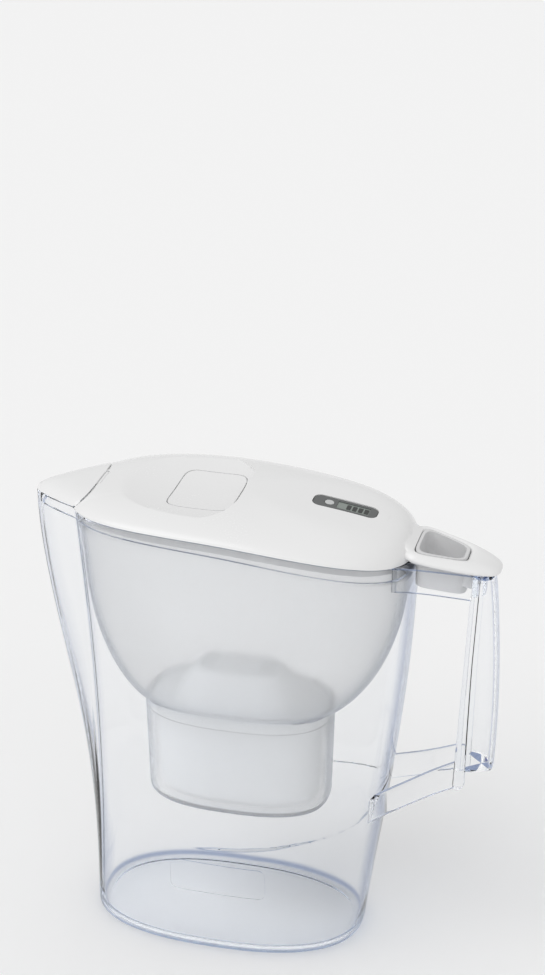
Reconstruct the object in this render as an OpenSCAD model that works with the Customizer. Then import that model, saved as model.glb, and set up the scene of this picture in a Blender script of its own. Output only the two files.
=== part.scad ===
// Water filter pitcher: clear jug, drop-in funnel, filter cartridge and lid.
// Millimetres. +X points to the handle, -X to the spout, +Z up.
// The origin is the middle of the jug's base, on the table.

/* [Jug] */
// Height of the jug's rim above the table, half way along it
rim_h = 260; // [240:1:275]
// Half length of the rim, without the spout
rim_a = 95.9; // [92:0.5:102]
// Half width of the rim
rim_b = 54.9; // [52:0.5:60]
// How far the middle of the rim lies behind the middle of the base
rim_shift = 9.9; // [6:0.1:12]
// How far the rim falls from its middle to its handle end
rim_drop = 7.15; // [4:0.05:9]
// How much the rim is crowned along its length
rim_crown = 8.6; // [5:0.1:10]
// Half length of the base
base_a = 80; // [76:0.5:83]
// Half width of the base
base_b = 47.4; // [44:0.2:50]
// How far the front wall is drawn in at mid height
front_waist = 5; // [2:0.5:7]
// Wall of the jug
jug_wall = 2.2; // [1.8:0.1:3]
// Wall of the jug beside the funnel's band
rim_wall = 1.8; // [1.4:0.1:2.2]
// Thickness of the jug's floor
floor_t = 3.5; // [2.5:0.1:5]
// Radius of the edge round the base
base_round = 4; // [2:0.5:6]
// Depth of the ledge that carries the funnel below the rim, at the front
front_ledge = 5.8; // [5:0.1:8]
// Depth of that ledge below the rim, at the rear
rear_ledge = 9.4; // [7:0.1:12]
// Width of that ledge
ledge_w = 1.2; // [0.8:0.1:1.6]

/* [Spout] */
// How far the spout's tip stands out in front of the rim
spout_reach = 25.6; // [20:0.2:30]
// Half width of the spout where it leaves the wall
spout_half = 27.9; // [24:0.1:31]
// Height of the spout's lip above the rim beside it
spout_lip = 1.5; // [0:0.1:2.5]
// Rounding of the spout's tip
tip_round = 3; // [1:0.5:5]

/* [Handle] */
// How far the grip's back stands out behind the rim
grip_reach = 48.4; // [44:0.2:54]
// How far the grip's back is bowed over its upper two thirds
grip_bow = 4.2; // [0:0.2:7]
// Half width of the grip
grip_half = 12.5; // [11:0.1:14]
// Distance from the rim to the grip's open side, at its lower end
grip_gap = 26.8; // [23:0.2:32]
// Lean of the grip's open side, per millimetre of height
grip_lean = 0.05; // [0:0.005:0.08]
// Wall of the grip
grip_wall = 2.4; // [1.8:0.1:3]
// Thickness of the rolled edge on each side of the grip
bead_d = 4.6; // [3.6:0.1:6]
// Height of the grip's lower end
grip_low = 120; // [112:1:126]
// Thickness of the four arms
arm_t = 2.6; // [2:0.1:3.4]
// Height of the arms as they leave the jug
arm_tall = 14; // [11:0.5:18]
// Fall of the upper arms, per millimetre towards the grip
arm_slope = 0.207; // [0.1:0.01:0.3]
// Height of the lower arms' top edge at the jug
low_arm_z = 102; // [96:1:106]
// Rise of the lower arms, per millimetre towards the grip
low_arm_slope = 0.5; // [0.3:0.01:0.55]

/* [Funnel] */
// Wall of the funnel
funnel_wall = 1.7; // [1.4:0.1:2.2]
// Space for pouring between the funnel and the front of the jug
pour_gap = 1.4; // [1:0.1:4]
// Height of the mouth of the well above the table
well_top = 146; // [138:1:156]
// Thickness of the well's floor
well_floor = 2; // [1.5:0.1:3]
// Taper of the well's side
well_taper = 1.8; // [1:0.1:3]
// Radius of the outlet post in the well
post_r = 10.2; // [8:0.1:11.5]
// Height of the outlet post
post_h = 24.5; // [18:0.5:28]

/* [Cartridge] */
// Half length of the cartridge's rim
cart_a = 52.5; // [48:0.5:56]
// Half width of the cartridge's rim
cart_b = 30.6; // [28:0.2:33]
// Distance of the cartridge behind the middle of the base
cart_x = 6.2; // [3:0.2:9]
// Height of the cartridge's body below the top of its rim
cart_deep = 63; // [56:0.5:68]
// Height of the cartridge's rim band
cart_band = 9; // [6:0.5:12]
// How far the rim band stands out from the body
cart_step = 3.4; // [2.4:0.1:4.5]
// Wall of the cartridge
cart_wall = 1.4; // [1:0.1:2]
// Height of the hood above the rim
hood_h = 18; // [14:0.5:24]
// Width of the slots in the hood
slot_w = 2; // [1.4:0.1:3]

/* [Lid] */
// Height of the lid's crown above the rim
lid_rise = 16.4; // [14:0.2:22]
// Fall of the crown line from its top to the lid's front end
front_fall = 8.8; // [7:0.2:11]
// Fall of the crown line from its top to the lid's rear end
rear_fall = 13.6; // [11:0.2:15]
// Wall of the lid
lid_wall = 2; // [1.6:0.1:2.6]
// Depth of the collar below the rim
collar_drop = 6; // [4:0.5:8]
// Height of the collar above the rim, up to the dome
collar_rise = 0.8; // [0.4:0.1:1.2]
// Wall of the collar
collar_wall = 1.6; // [1.2:0.1:2.2]
// Depth of the scoop's floor below the crown
scoop_deep = 7; // [6:0.1:8.5]
// Distance of the scoop's rear wall behind the middle of the base
scoop_rear = 10.5; // [6:0.5:14]
// Half width of the scoop
scoop_half = 43; // [38:0.5:46]
// Slope of the beak's seam, from the horizontal
seam_angle = 41; // [35:1:50]
// Distance of the top of the beak's seam in front of the middle of the base
seam_x = 72; // [68:0.5:76]
// Diameter of the beak's hinge pin
beak_pin_d = 1.5; // [1.2:0.1:1.8]
// Diameter of the beak's knuckle
beak_knuckle_d = 3.4; // [3:0.1:4]

/* [Thumb ring] */
// Length of the hole in the ring
hole_len = 27.8; // [25:0.2:29]
// Half width of the hole at its jug end
hole_half = 17; // [15:0.1:18]
// Width of the ring's side bars
bar_w = 5; // [4:0.2:6.4]
// Height of the ring at its jug end
ring_tall = 6.8; // [6:0.2:9]
// Height of the ring at its nose
nose_tall = 8; // [6:0.2:9]
// Depth of the hole's lining below the arms' top edge
tab_deep = 13; // [10:0.5:16]
// Wall of the hole's lining
tab_t = 1.8; // [1.4:0.1:2.4]
// Thickness of the plate that carries the ring down from the dome
bridge_t = 2.4; // [1.8:0.1:3]

/* [Fill flap] */
// Length of the fill flap
flap_len = 36; // [30:0.5:38]
// Half width of the fill flap
flap_half = 24; // [18:0.5:28]
// Thickness of the fill flap
flap_t = 1.8; // [1.4:0.1:2.4]
// Diameter of the flap's hinge pin
pin_d = 2.4; // [2:0.1:2.8]
// Diameter of the flap's knuckles
knuckle_d = 5.2; // [4.8:0.1:5.6]
// Diameter of the spring wire
wire_d = 0.7; // [0.5:0.05:0.9]

/* [Indicator] */
// Distance of the indicator's middle behind the middle of the base
gauge_x = 66; // [60:0.5:70]
// Length of the indicator
gauge_len = 36; // [30:0.5:40]
// Width of the indicator
gauge_w = 13; // [10:0.5:15]
// Depth of the indicator's case
gauge_deep = 9; // [8.5:0.5:10]
// Depth of the indicator's face below the crown line
gauge_sink = 0.4; // [0.2:0.1:1]
// Radius of the indicator's button
button_r = 2.6; // [2:0.1:3.2]

/* [Fits] */
// Gap between a piece and the seat that carries it
seat = 0.3; // [0.25:0.01:0.4]
// Gap at the side of a piece that drops into another
side_gap = 0.35; // [0.3:0.01:0.5]
// Gap round a moving flap
flap_gap = 0.6; // [0.5:0.05:0.9]
// Gap at the beak's seam, which clears its edge as it swings up
beak_gap = 0.85; // [0.8:0.05:1.2]
// Gap between the ring's hole and its lining
lining_gap = 0.15; // [0.1:0.01:0.3]
// Radial clearance of a pin in its knuckle
pin_play = 0.08; // [0.05:0.01:0.1]

/* [Hidden] */

// Points round the jug and the lid, and round the funnel and the cartridge
JUG_N = 60;
FUN_N = 48;
CART_N = 40;
JUG_PLAN_TOP = 2.66;
JUG_PLAN_LOW = 2.44;
CART_PLAN = 2.57;
SPOUT_TURN = 1.25;
SPOUT_LIP_FROM = 0.98;
// Points of the plan from the spout's tip to its root
SPOUT_STEPS = 4;

lid_top = rim_h + lid_rise;
rim_x0 = rim_shift - rim_a;
rim_x1 = rim_shift + rim_a;
tip_x = rim_x0 - spout_reach;
grip_back = rim_x1 + grip_reach;
grip_front = rim_x1 + grip_gap;
arm_x = rim_x1 - 7.2;
arm_mid_x = arm_x + 18.4;
low_arm_x = base_a + 7;
grip_top = rim_h - 20;
grip_bow_z = mix(grip_low, grip_top, 1 / 3);
funnel_inset = rim_wall + side_gap;
funnel_low_inset = rim_wall + ledge_w + side_gap;
funnel_rim_drop = seat;
cart_z = well_top + 1;
cart_low = cart_z - cart_deep;
well_low = cart_low - seat - well_floor;
seat_z = cart_z - cart_band - seat;
scoop_mid = -8;
scoop_rx = 120;
scoop_ry = 95;
scoop_rz = 40;
scoop_low = lid_top - scoop_deep;
scoop_plan_x = -40;
scoop_plan_n = 3.5;
flap_x1 = scoop_rear - 4.5;
flap_x0 = flap_x1 - flap_len;
hole_x0 = rim_x1 + 1.2;
hole_x1 = hole_x0 + hole_len;
nose_x = grip_back - 1.2;
tab_x0 = hole_x0 + lining_gap;
tab_x1 = grip_front + grip_lean * (grip_top - grip_low) - 0.7;

function mix(a, b, t) = a + (b - a) * t;
function spow(v, p) = (v < 0 ? -1 : 1) * pow(abs(v), p);
function ease(t) = t * t * (3 - 2 * t);
function clamp01(t) = max(0, min(1, t));

// ---- The jug's form: each wall as a function of height ----

function rim_z(x) = let (u = (x - rim_shift) / rim_a)
    rim_h - rim_drop * u - rim_crown * (u * u - 0.5);
function flare(z) = pow(sin(90 * clamp01(z / rim_h)), 1.15);
function rear_x(z) = mix(base_a, rim_x1, flare(z));
function side_y(z) = mix(base_b, rim_b, flare(z));
function front_x(z) = mix(-base_a, rim_x0, z / rim_h) + front_waist * sin(180 * z / rim_h);
function tip_at(z) = mix(-base_a, tip_x, ease(pow(clamp01(z / rim_h), SPOUT_TURN)));
function plan_n(z) = mix(JUG_PLAN_LOW, JUG_PLAN_TOP, z / rim_h);

// How much of the spout is present at half width y, from 1 at the tip to 0 at its root
function spout_share(y, half) =
    1 - clamp01((sqrt(y * y + tip_round * tip_round) - tip_round)
                / (sqrt(half * half + tip_round * tip_round) - tip_round));

// Plan of the jug at height z, moved inwards by inset, as [x, y, 1 on the spout or 0]
function jug_plan(z, inset) =
    let (x0 = front_x(z) + inset, x1 = rear_x(z) - inset, b = side_y(z) - inset,
         c = (x0 + x1) / 2, a = (x1 - x0) / 2, n = plan_n(z),
         half = spout_half - 0.4 * inset,
         reach = max(0, front_x(z) - tip_at(z) - 0.53 * inset))
    [for (i = [0:JUG_N - 1])
        let (t = 360 * i / JUG_N, x = c + a * spow(cos(t), 2 / n), y = b * spow(sin(t), 2 / n),
             on_spout = abs(i - JUG_N / 2) < SPOUT_STEPS,
             s = on_spout ? spout_share(y, half) : 0)
        [x - reach * s, y, on_spout ? 1 : 0]];

// Height of the rim at a point of the plan, with the spout's lip
function edge_z(p) = rim_z(p[0]) + spout_lip * p[2];

// Height of level z at x: levels follow the rim's fall and crown more and more as they rise
function level_z(z, x) = z * rim_z(x) / rim_h;

function jug_ring(z, inset) =
    [for (p = jug_plan(z, inset))
        [p[0], p[1], level_z(z, p[0]) + (z >= SPOUT_LIP_FROM * rim_h ? spout_lip * p[2] : 0)]];

// Depth of the funnel's ledge below the rim, growing from front to rear
function ledge_drop(x) = mix(front_ledge, rear_ledge, clamp01((x - rim_x0) / (2 * rim_a)));

// Ring of the jug's wall at a distance below that ledge
function ledge_ring(inset, below) =
    [for (p = jug_plan(rim_h - rear_ledge, inset))
        [p[0], p[1], level_z(rim_h - ledge_drop(p[0]) - below, p[0])]];

// ---- Lofts ----

// Solid through rings of equal count, closed at both ends
module loft(rings) {
    n = len(rings[0]);
    m = len(rings);
    walls = [for (j = [0:m - 2], i = [0:n - 1])
        let (k = (i + 1) % n, a = j * n, b = a + n)
        each [[a + i, b + i, b + k], [a + i, b + k, a + k]]];
    low = [[for (i = [0:n - 1]) i]];
    high = [[for (i = [0:n - 1]) m * n - 1 - i]];
    polyhedron(points = [for (r = rings) each r], faces = concat(walls, low, high));
}

// Closed band through rings of equal count, the last joined to the first
module band_loft(rings) {
    n = len(rings[0]);
    m = len(rings);
    faces = [for (j = [0:m - 1], i = [0:n - 1])
        let (k = (i + 1) % n, a = j * n, b = ((j + 1) % m) * n)
        each [[a + i, b + i, b + k], [a + i, b + k, a + k]]];
    polyhedron(points = [for (r = rings) each r], faces = faces);
}

// Level ring of two half superellipses that meet at their widest, at x = c
function egg(count, x0, c, x1, b, n, z) =
    [for (i = [0:count - 1])
        let (t = 360 * i / count, a = cos(t) < 0 ? c - x0 : x1 - c)
        [c + a * spow(cos(t), 2 / n), b * spow(sin(t), 2 / n), z]];

// Level superellipse ring
function oval(count, x0, x1, b, n, z) = egg(count, x0, (x0 + x1) / 2, x1, b, n, z);

// Keeps a shape that joins lofts and cuts as one moulding
module moulded() {
    resize([0, 0, 0]) children();
}

// ---- Jug ----

module jug_vessel() {
    loft([
        jug_ring(0, base_round),
        jug_ring(base_round * 0.3, base_round * 0.3),
        jug_ring(base_round, 0),
        for (f = [0.12, 0.24, 0.36, 0.48, 0.6, 0.72, 0.84, 0.93]) jug_ring(f * rim_h, 0),
        jug_ring(rim_h, 0),
        jug_ring(rim_h, rim_wall),
        ledge_ring(rim_wall, 0),
        ledge_ring(rim_wall + ledge_w, 0),
        ledge_ring(jug_wall, 4),
        for (f = [0.84, 0.72, 0.6, 0.48, 0.36, 0.24, 0.12]) jug_ring(f * rim_h, jug_wall),
        jug_ring(floor_t + base_round, jug_wall),
        jug_ring(floor_t, jug_wall + base_round)
    ]);
}

// Top edge of the upper arms and of the grip
function arm_z(x) = rim_z(arm_x) - arm_slope * (x - arm_x);
function low_arm_top(x) = low_arm_z + low_arm_slope * (x - low_arm_x);

// Half width of the jug's outside at x, at height z
function jug_half(x, z) =
    let (c = (front_x(z) + rear_x(z)) / 2, a = (rear_x(z) - front_x(z)) / 2, n = plan_n(z))
    side_y(z) * pow(1 - pow(clamp01((x - c) / a), n), 1 / n);

// Plate between upright stations [x, y, top, height]
module plate(stations, t) {
    for (i = [0:len(stations) - 2])
        hull()
            for (p = [stations[i], stations[i + 1]])
                translate([p[0], p[1], p[2] - p[3]])
                    cylinder(d = t, h = p[3], $fn = 12);
}

function arm_mid_y() = mix(jug_half(arm_x, rim_h), grip_half, 0.55);
function bead_y() = grip_half - bead_d / 2;
function bead_x(z) = grip_front + grip_lean * (z - grip_low) + bead_d / 2;
function grip_back_x(z) = grip_back - grip_bow * pow((z - grip_bow_z) / (grip_top - grip_bow_z), 2);

module upper_arm() {
    plate([
        [arm_x, jug_half(arm_x, rim_h), arm_z(arm_x), arm_tall],
        [arm_mid_x, arm_mid_y(), arm_z(arm_mid_x), arm_tall],
        [bead_x(grip_top), bead_y(), arm_z(bead_x(grip_top)), arm_tall + 0.8]
    ], arm_t);
}

module lower_arm() {
    mid_x = low_arm_x + 17;
    plate([
        [low_arm_x, jug_half(low_arm_x, low_arm_z - 8), low_arm_z, arm_tall + 2],
        [mid_x, mix(jug_half(low_arm_x, low_arm_z - 8), bead_y(), 0.5), low_arm_top(mid_x), arm_tall + 2],
        [bead_x(grip_low), bead_y(), low_arm_top(bead_x(grip_low)), arm_tall + 3]
    ], arm_t);
}

// Rolled edge of the grip, from the top of the arms to just under its lower end
module grip_bead() {
    top = arm_z(bead_x(grip_top)) - 0.2;
    heights = [top, for (f = [0.8, 0.58, 0.33, 0.125, 0, -0.1]) mix(grip_low, grip_top, f)];
    for (i = [0:len(heights) - 2])
        hull()
            for (z = [heights[i], heights[i + 1]])
                translate([bead_x(z), bead_y(), z - 0.8])
                    cylinder(d = bead_d + (z < grip_low ? 1 : 0), h = 0.8, $fn = 12);
}

// One ring of the open channel: round the outside of the back, and home along its inside
function channel_ring(z, tilt) =
    let (c = bead_x(z), a = grip_back_x(z) - c, steps = 12)
    concat(
        [for (i = [0:steps])
            let (t = -90 + 180 * i / steps, x = c + a * spow(cos(t), 0.8))
            [x, grip_half * spow(sin(t), 0.8), z - tilt * (x - c)]],
        [for (i = [0:steps])
            let (t = 90 - 180 * i / steps, x = c + (a - grip_wall) * spow(cos(t), 0.8))
            [x, (grip_half - grip_wall) * spow(sin(t), 0.8), z - tilt * (x - c)]]);

module grip_channel() {
    top = arm_z(bead_x(grip_top)) - 0.2;
    loft([
        channel_ring(grip_low, 0),
        for (f = [0.125, 0.33, 0.58, 0.8]) channel_ring(mix(grip_low, grip_top, f), 0),
        channel_ring(top, arm_slope)
    ]);
}

// Short wall that closes the grip's mouth towards the jug
module grip_lip() {
    x = bead_x(grip_top);
    top = arm_z(x) - 0.2;
    plate([for (t = [-90:45:90]) [x - 1.2 * cos(t), (bead_y() + 0.4) * sin(t), top, 13]], grip_wall);
}

module grip_web() {
    x = bead_x(grip_top) + 4;
    top = arm_z(x) - 2;
    translate([x - 0.7, -grip_half + 1, top - 9]) cube([1.4, 2 * grip_half - 2, 9]);
}

module jug() {
    color("aliceblue", 0.4) moulded() {
        jug_vessel();
        for (side = [0, 1]) mirror([0, side, 0]) {
            upper_arm();
            lower_arm();
            grip_bead();
        }
        grip_channel();
        grip_lip();
        grip_web();
    }
}

// ---- Funnel ----

// The bowl opens from the well to the band: 0 at the well's mouth, 1 at the band
function bowl(t) = pow(1 - pow(1 - t, 2.6), 0.72);

function well_x0(inset) = cart_x - cart_a - side_gap - funnel_wall + inset;
function well_x1(inset) = cart_x + cart_a + side_gap + funnel_wall - inset;
function well_y(inset) = cart_b + side_gap + funnel_wall - inset;
function band_x0(inset) = rim_x0 + funnel_inset + pour_gap + inset;
function band_x1(inset) = rim_x1 - inset;

// Ring of the funnel's upper half, t from 0 at the well's mouth to 1 at the rim
function bowl_ring(t, inset, wall) =
    let (k = bowl(t), z = mix(well_top, rim_h, t),
         x0 = mix(well_x0(wall), band_x0(ledge_w + wall), k),
         x1 = mix(well_x1(wall), band_x1(inset + wall), k),
         b = mix(well_y(wall), rim_b - inset - wall, k),
         n = mix(CART_PLAN, JUG_PLAN_TOP, k), c = mix(cart_x, rim_shift, k))
    [for (p = egg(FUN_N, x0, c, x1, b, n, z)) [p[0], p[1], mix(z, level_z(z, p[0]), t)]];

// Plan of the funnel's band
function band_plan(inset) =
    egg(FUN_N, band_x0(inset - funnel_inset), rim_shift, band_x1(inset), rim_b - inset, JUG_PLAN_TOP, 0);

// Ring of the band at its rim, and one at a distance below the band's foot
function band_ring(drop, inset) =
    [for (p = band_plan(inset)) [p[0], p[1], level_z(rim_h - drop, p[0])]];
function foot_ring(below, inset) =
    [for (p = band_plan(inset)) [p[0], p[1], level_z(rim_h - ledge_drop(p[0]) + seat - below, p[0])]];

function well_ring(z, inset) =
    let (k = (well_top - z) / (well_top - well_low), d = inset + well_taper * k)
    oval(FUN_N, well_x0(d), well_x1(d), well_y(d), CART_PLAN, z);

module funnel_bowl() {
    bowl_top = 1 - (rear_ledge - seat + 3) / (rim_h - well_top);
    steps = [0.03, 0.09, 0.18, 0.3, 0.45, 0.62, 0.8, 0.93];
    step_w = funnel_wall + ledge_w * 0.8;
    loft([
        well_ring(well_low, 5),
        well_ring(well_low + 1.2, 1.4),
        well_ring(well_low + 4.5, 0),
        well_ring(seat_z - 4, 0),
        well_ring(well_top, 0),
        for (f = steps) bowl_ring(f * bowl_top, funnel_low_inset, 0),
        foot_ring(3, funnel_low_inset),
        foot_ring(0, funnel_inset + ledge_w),
        foot_ring(0, funnel_inset),
        band_ring(funnel_rim_drop, funnel_inset),
        band_ring(funnel_rim_drop, funnel_inset + funnel_wall),
        foot_ring(0, funnel_inset + funnel_wall),
        foot_ring(3, funnel_low_inset + funnel_wall),
        for (i = [len(steps) - 1:-1:0]) bowl_ring(steps[i] * bowl_top, funnel_low_inset, funnel_wall),
        well_ring(well_top, funnel_wall),
        well_ring(seat_z, funnel_wall - well_taper * (well_top - seat_z) / (well_top - well_low)),
        well_ring(seat_z, step_w),
        well_ring(well_low + well_floor + 3, funnel_wall + 0.8),
        well_ring(well_low + well_floor, funnel_wall + 4)
    ]);
}

// Outlet post: a domed tube on the well's floor, with windows near its top
module outlet_post() {
    floor_z = well_low + well_floor;
    straight = post_h - post_r * 0.6;
    translate([cart_x, 0, floor_z - 0.1])
        difference() {
            union() {
                cylinder(r = post_r, h = straight + 0.1, $fn = 32);
                translate([0, 0, straight]) scale([1, 1, 0.6]) sphere(r = post_r, $fn = 32);
            }
            translate([0, 0, -1]) cylinder(r = post_r - funnel_wall, h = straight, $fn = 32);
            translate([0, 0, straight - 1.1])
                scale([1, 1, 0.6]) sphere(r = post_r - funnel_wall, $fn = 32);
            for (a = [45:90:315])
                rotate([0, 0, a]) translate([0, -1.5, straight - 7]) cube([post_r + 2, 3, 6]);
        }
}

module funnel() {
    color("lavender", 0.5) moulded() difference() {
        union() {
            funnel_bowl();
            outlet_post();
        }
        translate([cart_x, 0, well_low - 1])
            cylinder(r = post_r - funnel_wall, h = well_floor + 1.5, $fn = 32);
    }
}

// ---- Cartridge ----

function cart_ring(z, inset) =
    let (k = clamp01((cart_z - cart_band - z) / cart_deep), d = inset + 3 * k)
    oval(CART_N, cart_x - cart_a + d, cart_x + cart_a - d, cart_b - d, CART_PLAN, z);

recess_r = post_r + 1.4;
recess_top = well_low + well_floor + post_h + 3;

module cartridge_shell() {
    low_wall = cart_step + cart_wall;
    color("white") moulded() difference() {
        union() {
            loft([
                cart_ring(cart_low, cart_step + 6),
                cart_ring(cart_low + 2, cart_step + 2),
                cart_ring(cart_low + 6.5, cart_step),
                cart_ring(cart_z - cart_band - 0.5, cart_step),
                cart_ring(cart_z - cart_band, 0.3),
                cart_ring(cart_z - 0.6, 0),
                cart_ring(cart_z, 0.5),
                cart_ring(cart_z, 1.5),
                cart_ring(cart_z - cart_band + 3, 1.7),
                cart_ring(cart_z - cart_band + 1.5, low_wall),
                cart_ring(cart_low + 6.5, low_wall),
                cart_ring(cart_low + 1.6, cart_step + 6)
            ]);
            translate([cart_x, 0, cart_low])
                cylinder(r = recess_r + cart_wall, h = recess_top - cart_low, $fn = 32);
        }
        translate([cart_x, 0, cart_low - 1])
            cylinder(r = recess_r, h = recess_top - cart_low + 1 - cart_wall, $fn = 32);
        translate([cart_x, 0, cart_low])
            cylinder(r = recess_r - 4, h = recess_top - cart_low + 1, $fn = 32);
    }
}

// Hood outline at share s of its height: long and wide at its foot, a narrow saddle on top
function hood_ring(s, inset) =
    let (z = cart_z + s * hood_h,
         k = max(0, s),
         x0 = mix(cart_x - cart_a + 17, cart_x - 24.5, pow(k, 1.2)),
         x1 = mix(cart_x + cart_a - 9.5, cart_x + 25, pow(k, 0.62)),
         b = mix(cart_b - 3.4, 12.5, pow(k, 1.1)))
    oval(CART_N, x0 + inset, x1 - inset, b - inset, 3.4, z);

module cartridge_hood() {
    skirt = [cart_x - cart_a + 2, cart_x + cart_a - 2, cart_b - 2];
    color("white") moulded() difference() {
        loft([
            oval(CART_N, skirt[0], skirt[1], skirt[2], CART_PLAN, cart_z - 3),
            oval(CART_N, skirt[0], skirt[1], skirt[2], CART_PLAN, cart_z - 1.4),
            hood_ring(0, -0.6),
            hood_ring(0.06, 0),
            for (s = [0.25, 0.5, 0.75, 0.92]) hood_ring(s, 0),
            hood_ring(1, 1.2)
        ]);
        loft([
            hood_ring(-0.4, 1.5),
            hood_ring(0, 1.5),
            for (s = [0.25, 0.5, 0.75]) hood_ring(s, 1.5),
            hood_ring(0.9, 1.8)
        ]);
        for (x = [-17, 17], y = [-5.5, 0, 5.5])
            translate([cart_x + x - 4.5, y - slot_w / 2, cart_z + hood_h - 4])
                cube([9, slot_w, 6]);
    }
}

media_top = cart_z - cart_band - 2;

module filter_media() {
    d = cart_step + cart_wall + 0.1;
    color("dimgray") moulded() difference() {
        loft([
            cart_ring(cart_low + 2, cart_step + 6),
            cart_ring(cart_low + 6.6, d),
            cart_ring(media_top, d)
        ]);
        translate([cart_x, 0, cart_low])
            cylinder(r = recess_r + cart_wall + 0.1, h = recess_top - cart_low + 0.8, $fn = 32);
    }
}

module inlet_strainer() {
    d = cart_step + cart_wall + 0.1;
    color("gainsboro") loft([cart_ring(media_top + 0.1, d), cart_ring(media_top + 0.9, d)]);
}

module outlet_strainer() {
    color("gainsboro")
        translate([cart_x, 0, recess_top]) cylinder(r = recess_r, h = 0.7, $fn = 48);
}

// ---- Lid ----

crown_soft = 0.13;
front_power = 1.38;
rear_power = 1.74;

// Crown line of the lid: flat round its top, falling at its own rate to each end
function crown_z(x) =
    let (u = (x + 2) / (rim_a + 13.1), fall = u < 0 ? front_fall : rear_fall,
         power = u < 0 ? front_power : rear_power)
    lid_top - fall * (pow(u * u + crown_soft * crown_soft, power / 2) - pow(crown_soft, power));

// Lid surface at share f of the way from its middle to its edge, on the ray to edge point p
function dome_point(p, f, drop) =
    let (x = mix(rim_shift, p[0], f), y = p[1] * f,
         w = min(1, abs(p[1]) / rim_b), power = mix(20, 2.2, w),
         share = pow(max(0, 1 - pow(f, power)), 0.6), low = edge_z(p) + seat)
    [x, y, mix(low, crown_z(x), share) - drop * (f < 1 ? 1 : 0)];

function dome_ring(f, inset, drop) = [for (p = jug_plan(rim_h, inset)) dome_point(p, f, drop)];

module dome_solid(skirt = 0) {
    low = skirt > 0 ? dome_ring(1, 0, skirt) : dome_ring(1, lid_wall + 0.4, 0);
    loft([
        [for (p = low) [p[0], p[1], p[2] + (skirt > 0 ? -skirt : 0.15)]],
        dome_ring(1, 0, 0),
        for (f = [0.985, 0.96, 0.92, 0.86, 0.78, 0.66, 0.5, 0.3, 0.1]) dome_ring(f, 0, 0)
    ]);
}

module dome_hollow() {
    loft([
        [for (p = dome_ring(1, lid_wall, 0)) [p[0], p[1], p[2] - 8]],
        dome_ring(1, lid_wall, 0),
        for (f = [0.97, 0.93, 0.86, 0.76, 0.62, 0.45, 0.2]) dome_ring(f, lid_wall, lid_wall)
    ]);
}

// Room that the scoop takes out of the dome, grown by a wall's thickness
module scoop_room(grow) {
    intersection() {
        translate([scoop_mid, 0, scoop_low + scoop_rz])
            scale([scoop_rx + grow, scoop_ry + grow, scoop_rz + grow])
                sphere(r = 1, $fn = 72);
        loft([for (z = [scoop_low - 12, lid_top + 6])
            oval(CART_N, 2 * scoop_plan_x - scoop_rear - grow, scoop_rear + grow,
                 scoop_half + grow, scoop_plan_n, z)]);
    }
}

// Height of the scoop's floor at x, on the middle line
function scoop_z(x) = scoop_low + scoop_rz - scoop_rz * sqrt(1 - pow((x - scoop_mid) / scoop_rx, 2));

module flap_opening(gap) {
    loft([for (z = [scoop_low - 10, lid_top])
        oval(CART_N, flap_x0 - gap, flap_x1 + gap, flap_half + gap, 6, z)]);
}

// Everything in front of the beak's seam; gap moves the seam forwards
module beak_side(gap) {
    translate([-seam_x, 0, crown_z(-seam_x)])
        rotate([0, -seam_angle, 0])
            translate([-100, -100, gap]) cube([200, 200, 100]);
}

ring_mid = (hole_x0 + hole_x1) / 2;
function ring_low(x) = arm_z(x) + seat + 0.1;
function ring_tall_at(x) = mix(ring_tall, nose_tall, clamp01((x - hole_x0) / (nose_x - hole_x0)));
function narrow(x) = mix(1, 0.56, clamp01((x - hole_x0) / hole_len));
function hole_point(t, inset) =
    let (x = ring_mid + (hole_len / 2 - inset) * spow(cos(t), 0.42))
    [x, (hole_half * narrow(x) - inset) * spow(sin(t), 0.42)];
function outer_point(t) =
    let (x0 = rim_x1 - 9, x = (x0 + nose_x) / 2 + (nose_x - x0) / 2 * spow(cos(t), 0.6))
    [x, (hole_half + bar_w) * mix(1, 0.6, clamp01((x - hole_x0) / (hole_len + 12))) * spow(sin(t), 0.6)];

// Thumb ring: a rounded bar that runs round the hole
module thumb_ring() {
    stations = 36;
    corners = 10;
    rings = [for (j = [0:corners - 1])
        let (a = 360 * (j + 0.5) / corners)
        [for (i = [0:stations - 1])
            let (t = 360 * i / stations, p = hole_point(t, 0), q = outer_point(t),
                 s = 0.5 + 0.5 * spow(cos(a), 0.7), v = 0.5 + 0.5 * spow(sin(a), 0.7),
                 x = mix(p[0], q[0], s))
            [x, mix(p[1], q[1], s), ring_low(x) + ring_tall_at(x) * mix(0.2 * s * s, 1 - 0.4 * s * s, v)]]];
    band_loft([for (j = [corners - 1:-1:0]) rings[corners - 1 - j]]);
}

// Wedge that runs down from the dome's rear to the corners of the hole
module ring_bridge() {
    x0 = rim_x1 - 13;
    x1 = hole_x0 - 0.1;
    half = hole_half * 0.9;
    hull() {
        translate([x0, -3, crown_z(x0) - bridge_t - 0.1]) cube([1, 6, bridge_t]);
        translate([x1 - 1, -half, ring_low(x1) + 1]) cube([1, 2 * half, ring_tall - 1]);
    }
}

gauge_z = crown_z(gauge_x) - gauge_sink;
gauge_tilt = 9;

// Places children at the indicator: their +Z is the face's outward normal
module at_gauge() {
    translate([gauge_x, 0, gauge_z]) rotate([0, gauge_tilt, 0]) children();
}

// Capsule-like block in the indicator's own frame
module capsule(len, w, z0, z1) {
    translate([0, 0, z0]) linear_extrude(z1 - z0) {
        square([len - w * 0.7, w], center = true);
        square([len, w * 0.3], center = true);
        for (x = [-1, 1], y = [-1, 1])
            translate([x * (len / 2 - w * 0.35), y * w * 0.15]) circle(r = w * 0.35, $fn = 32);
    }
}

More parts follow.
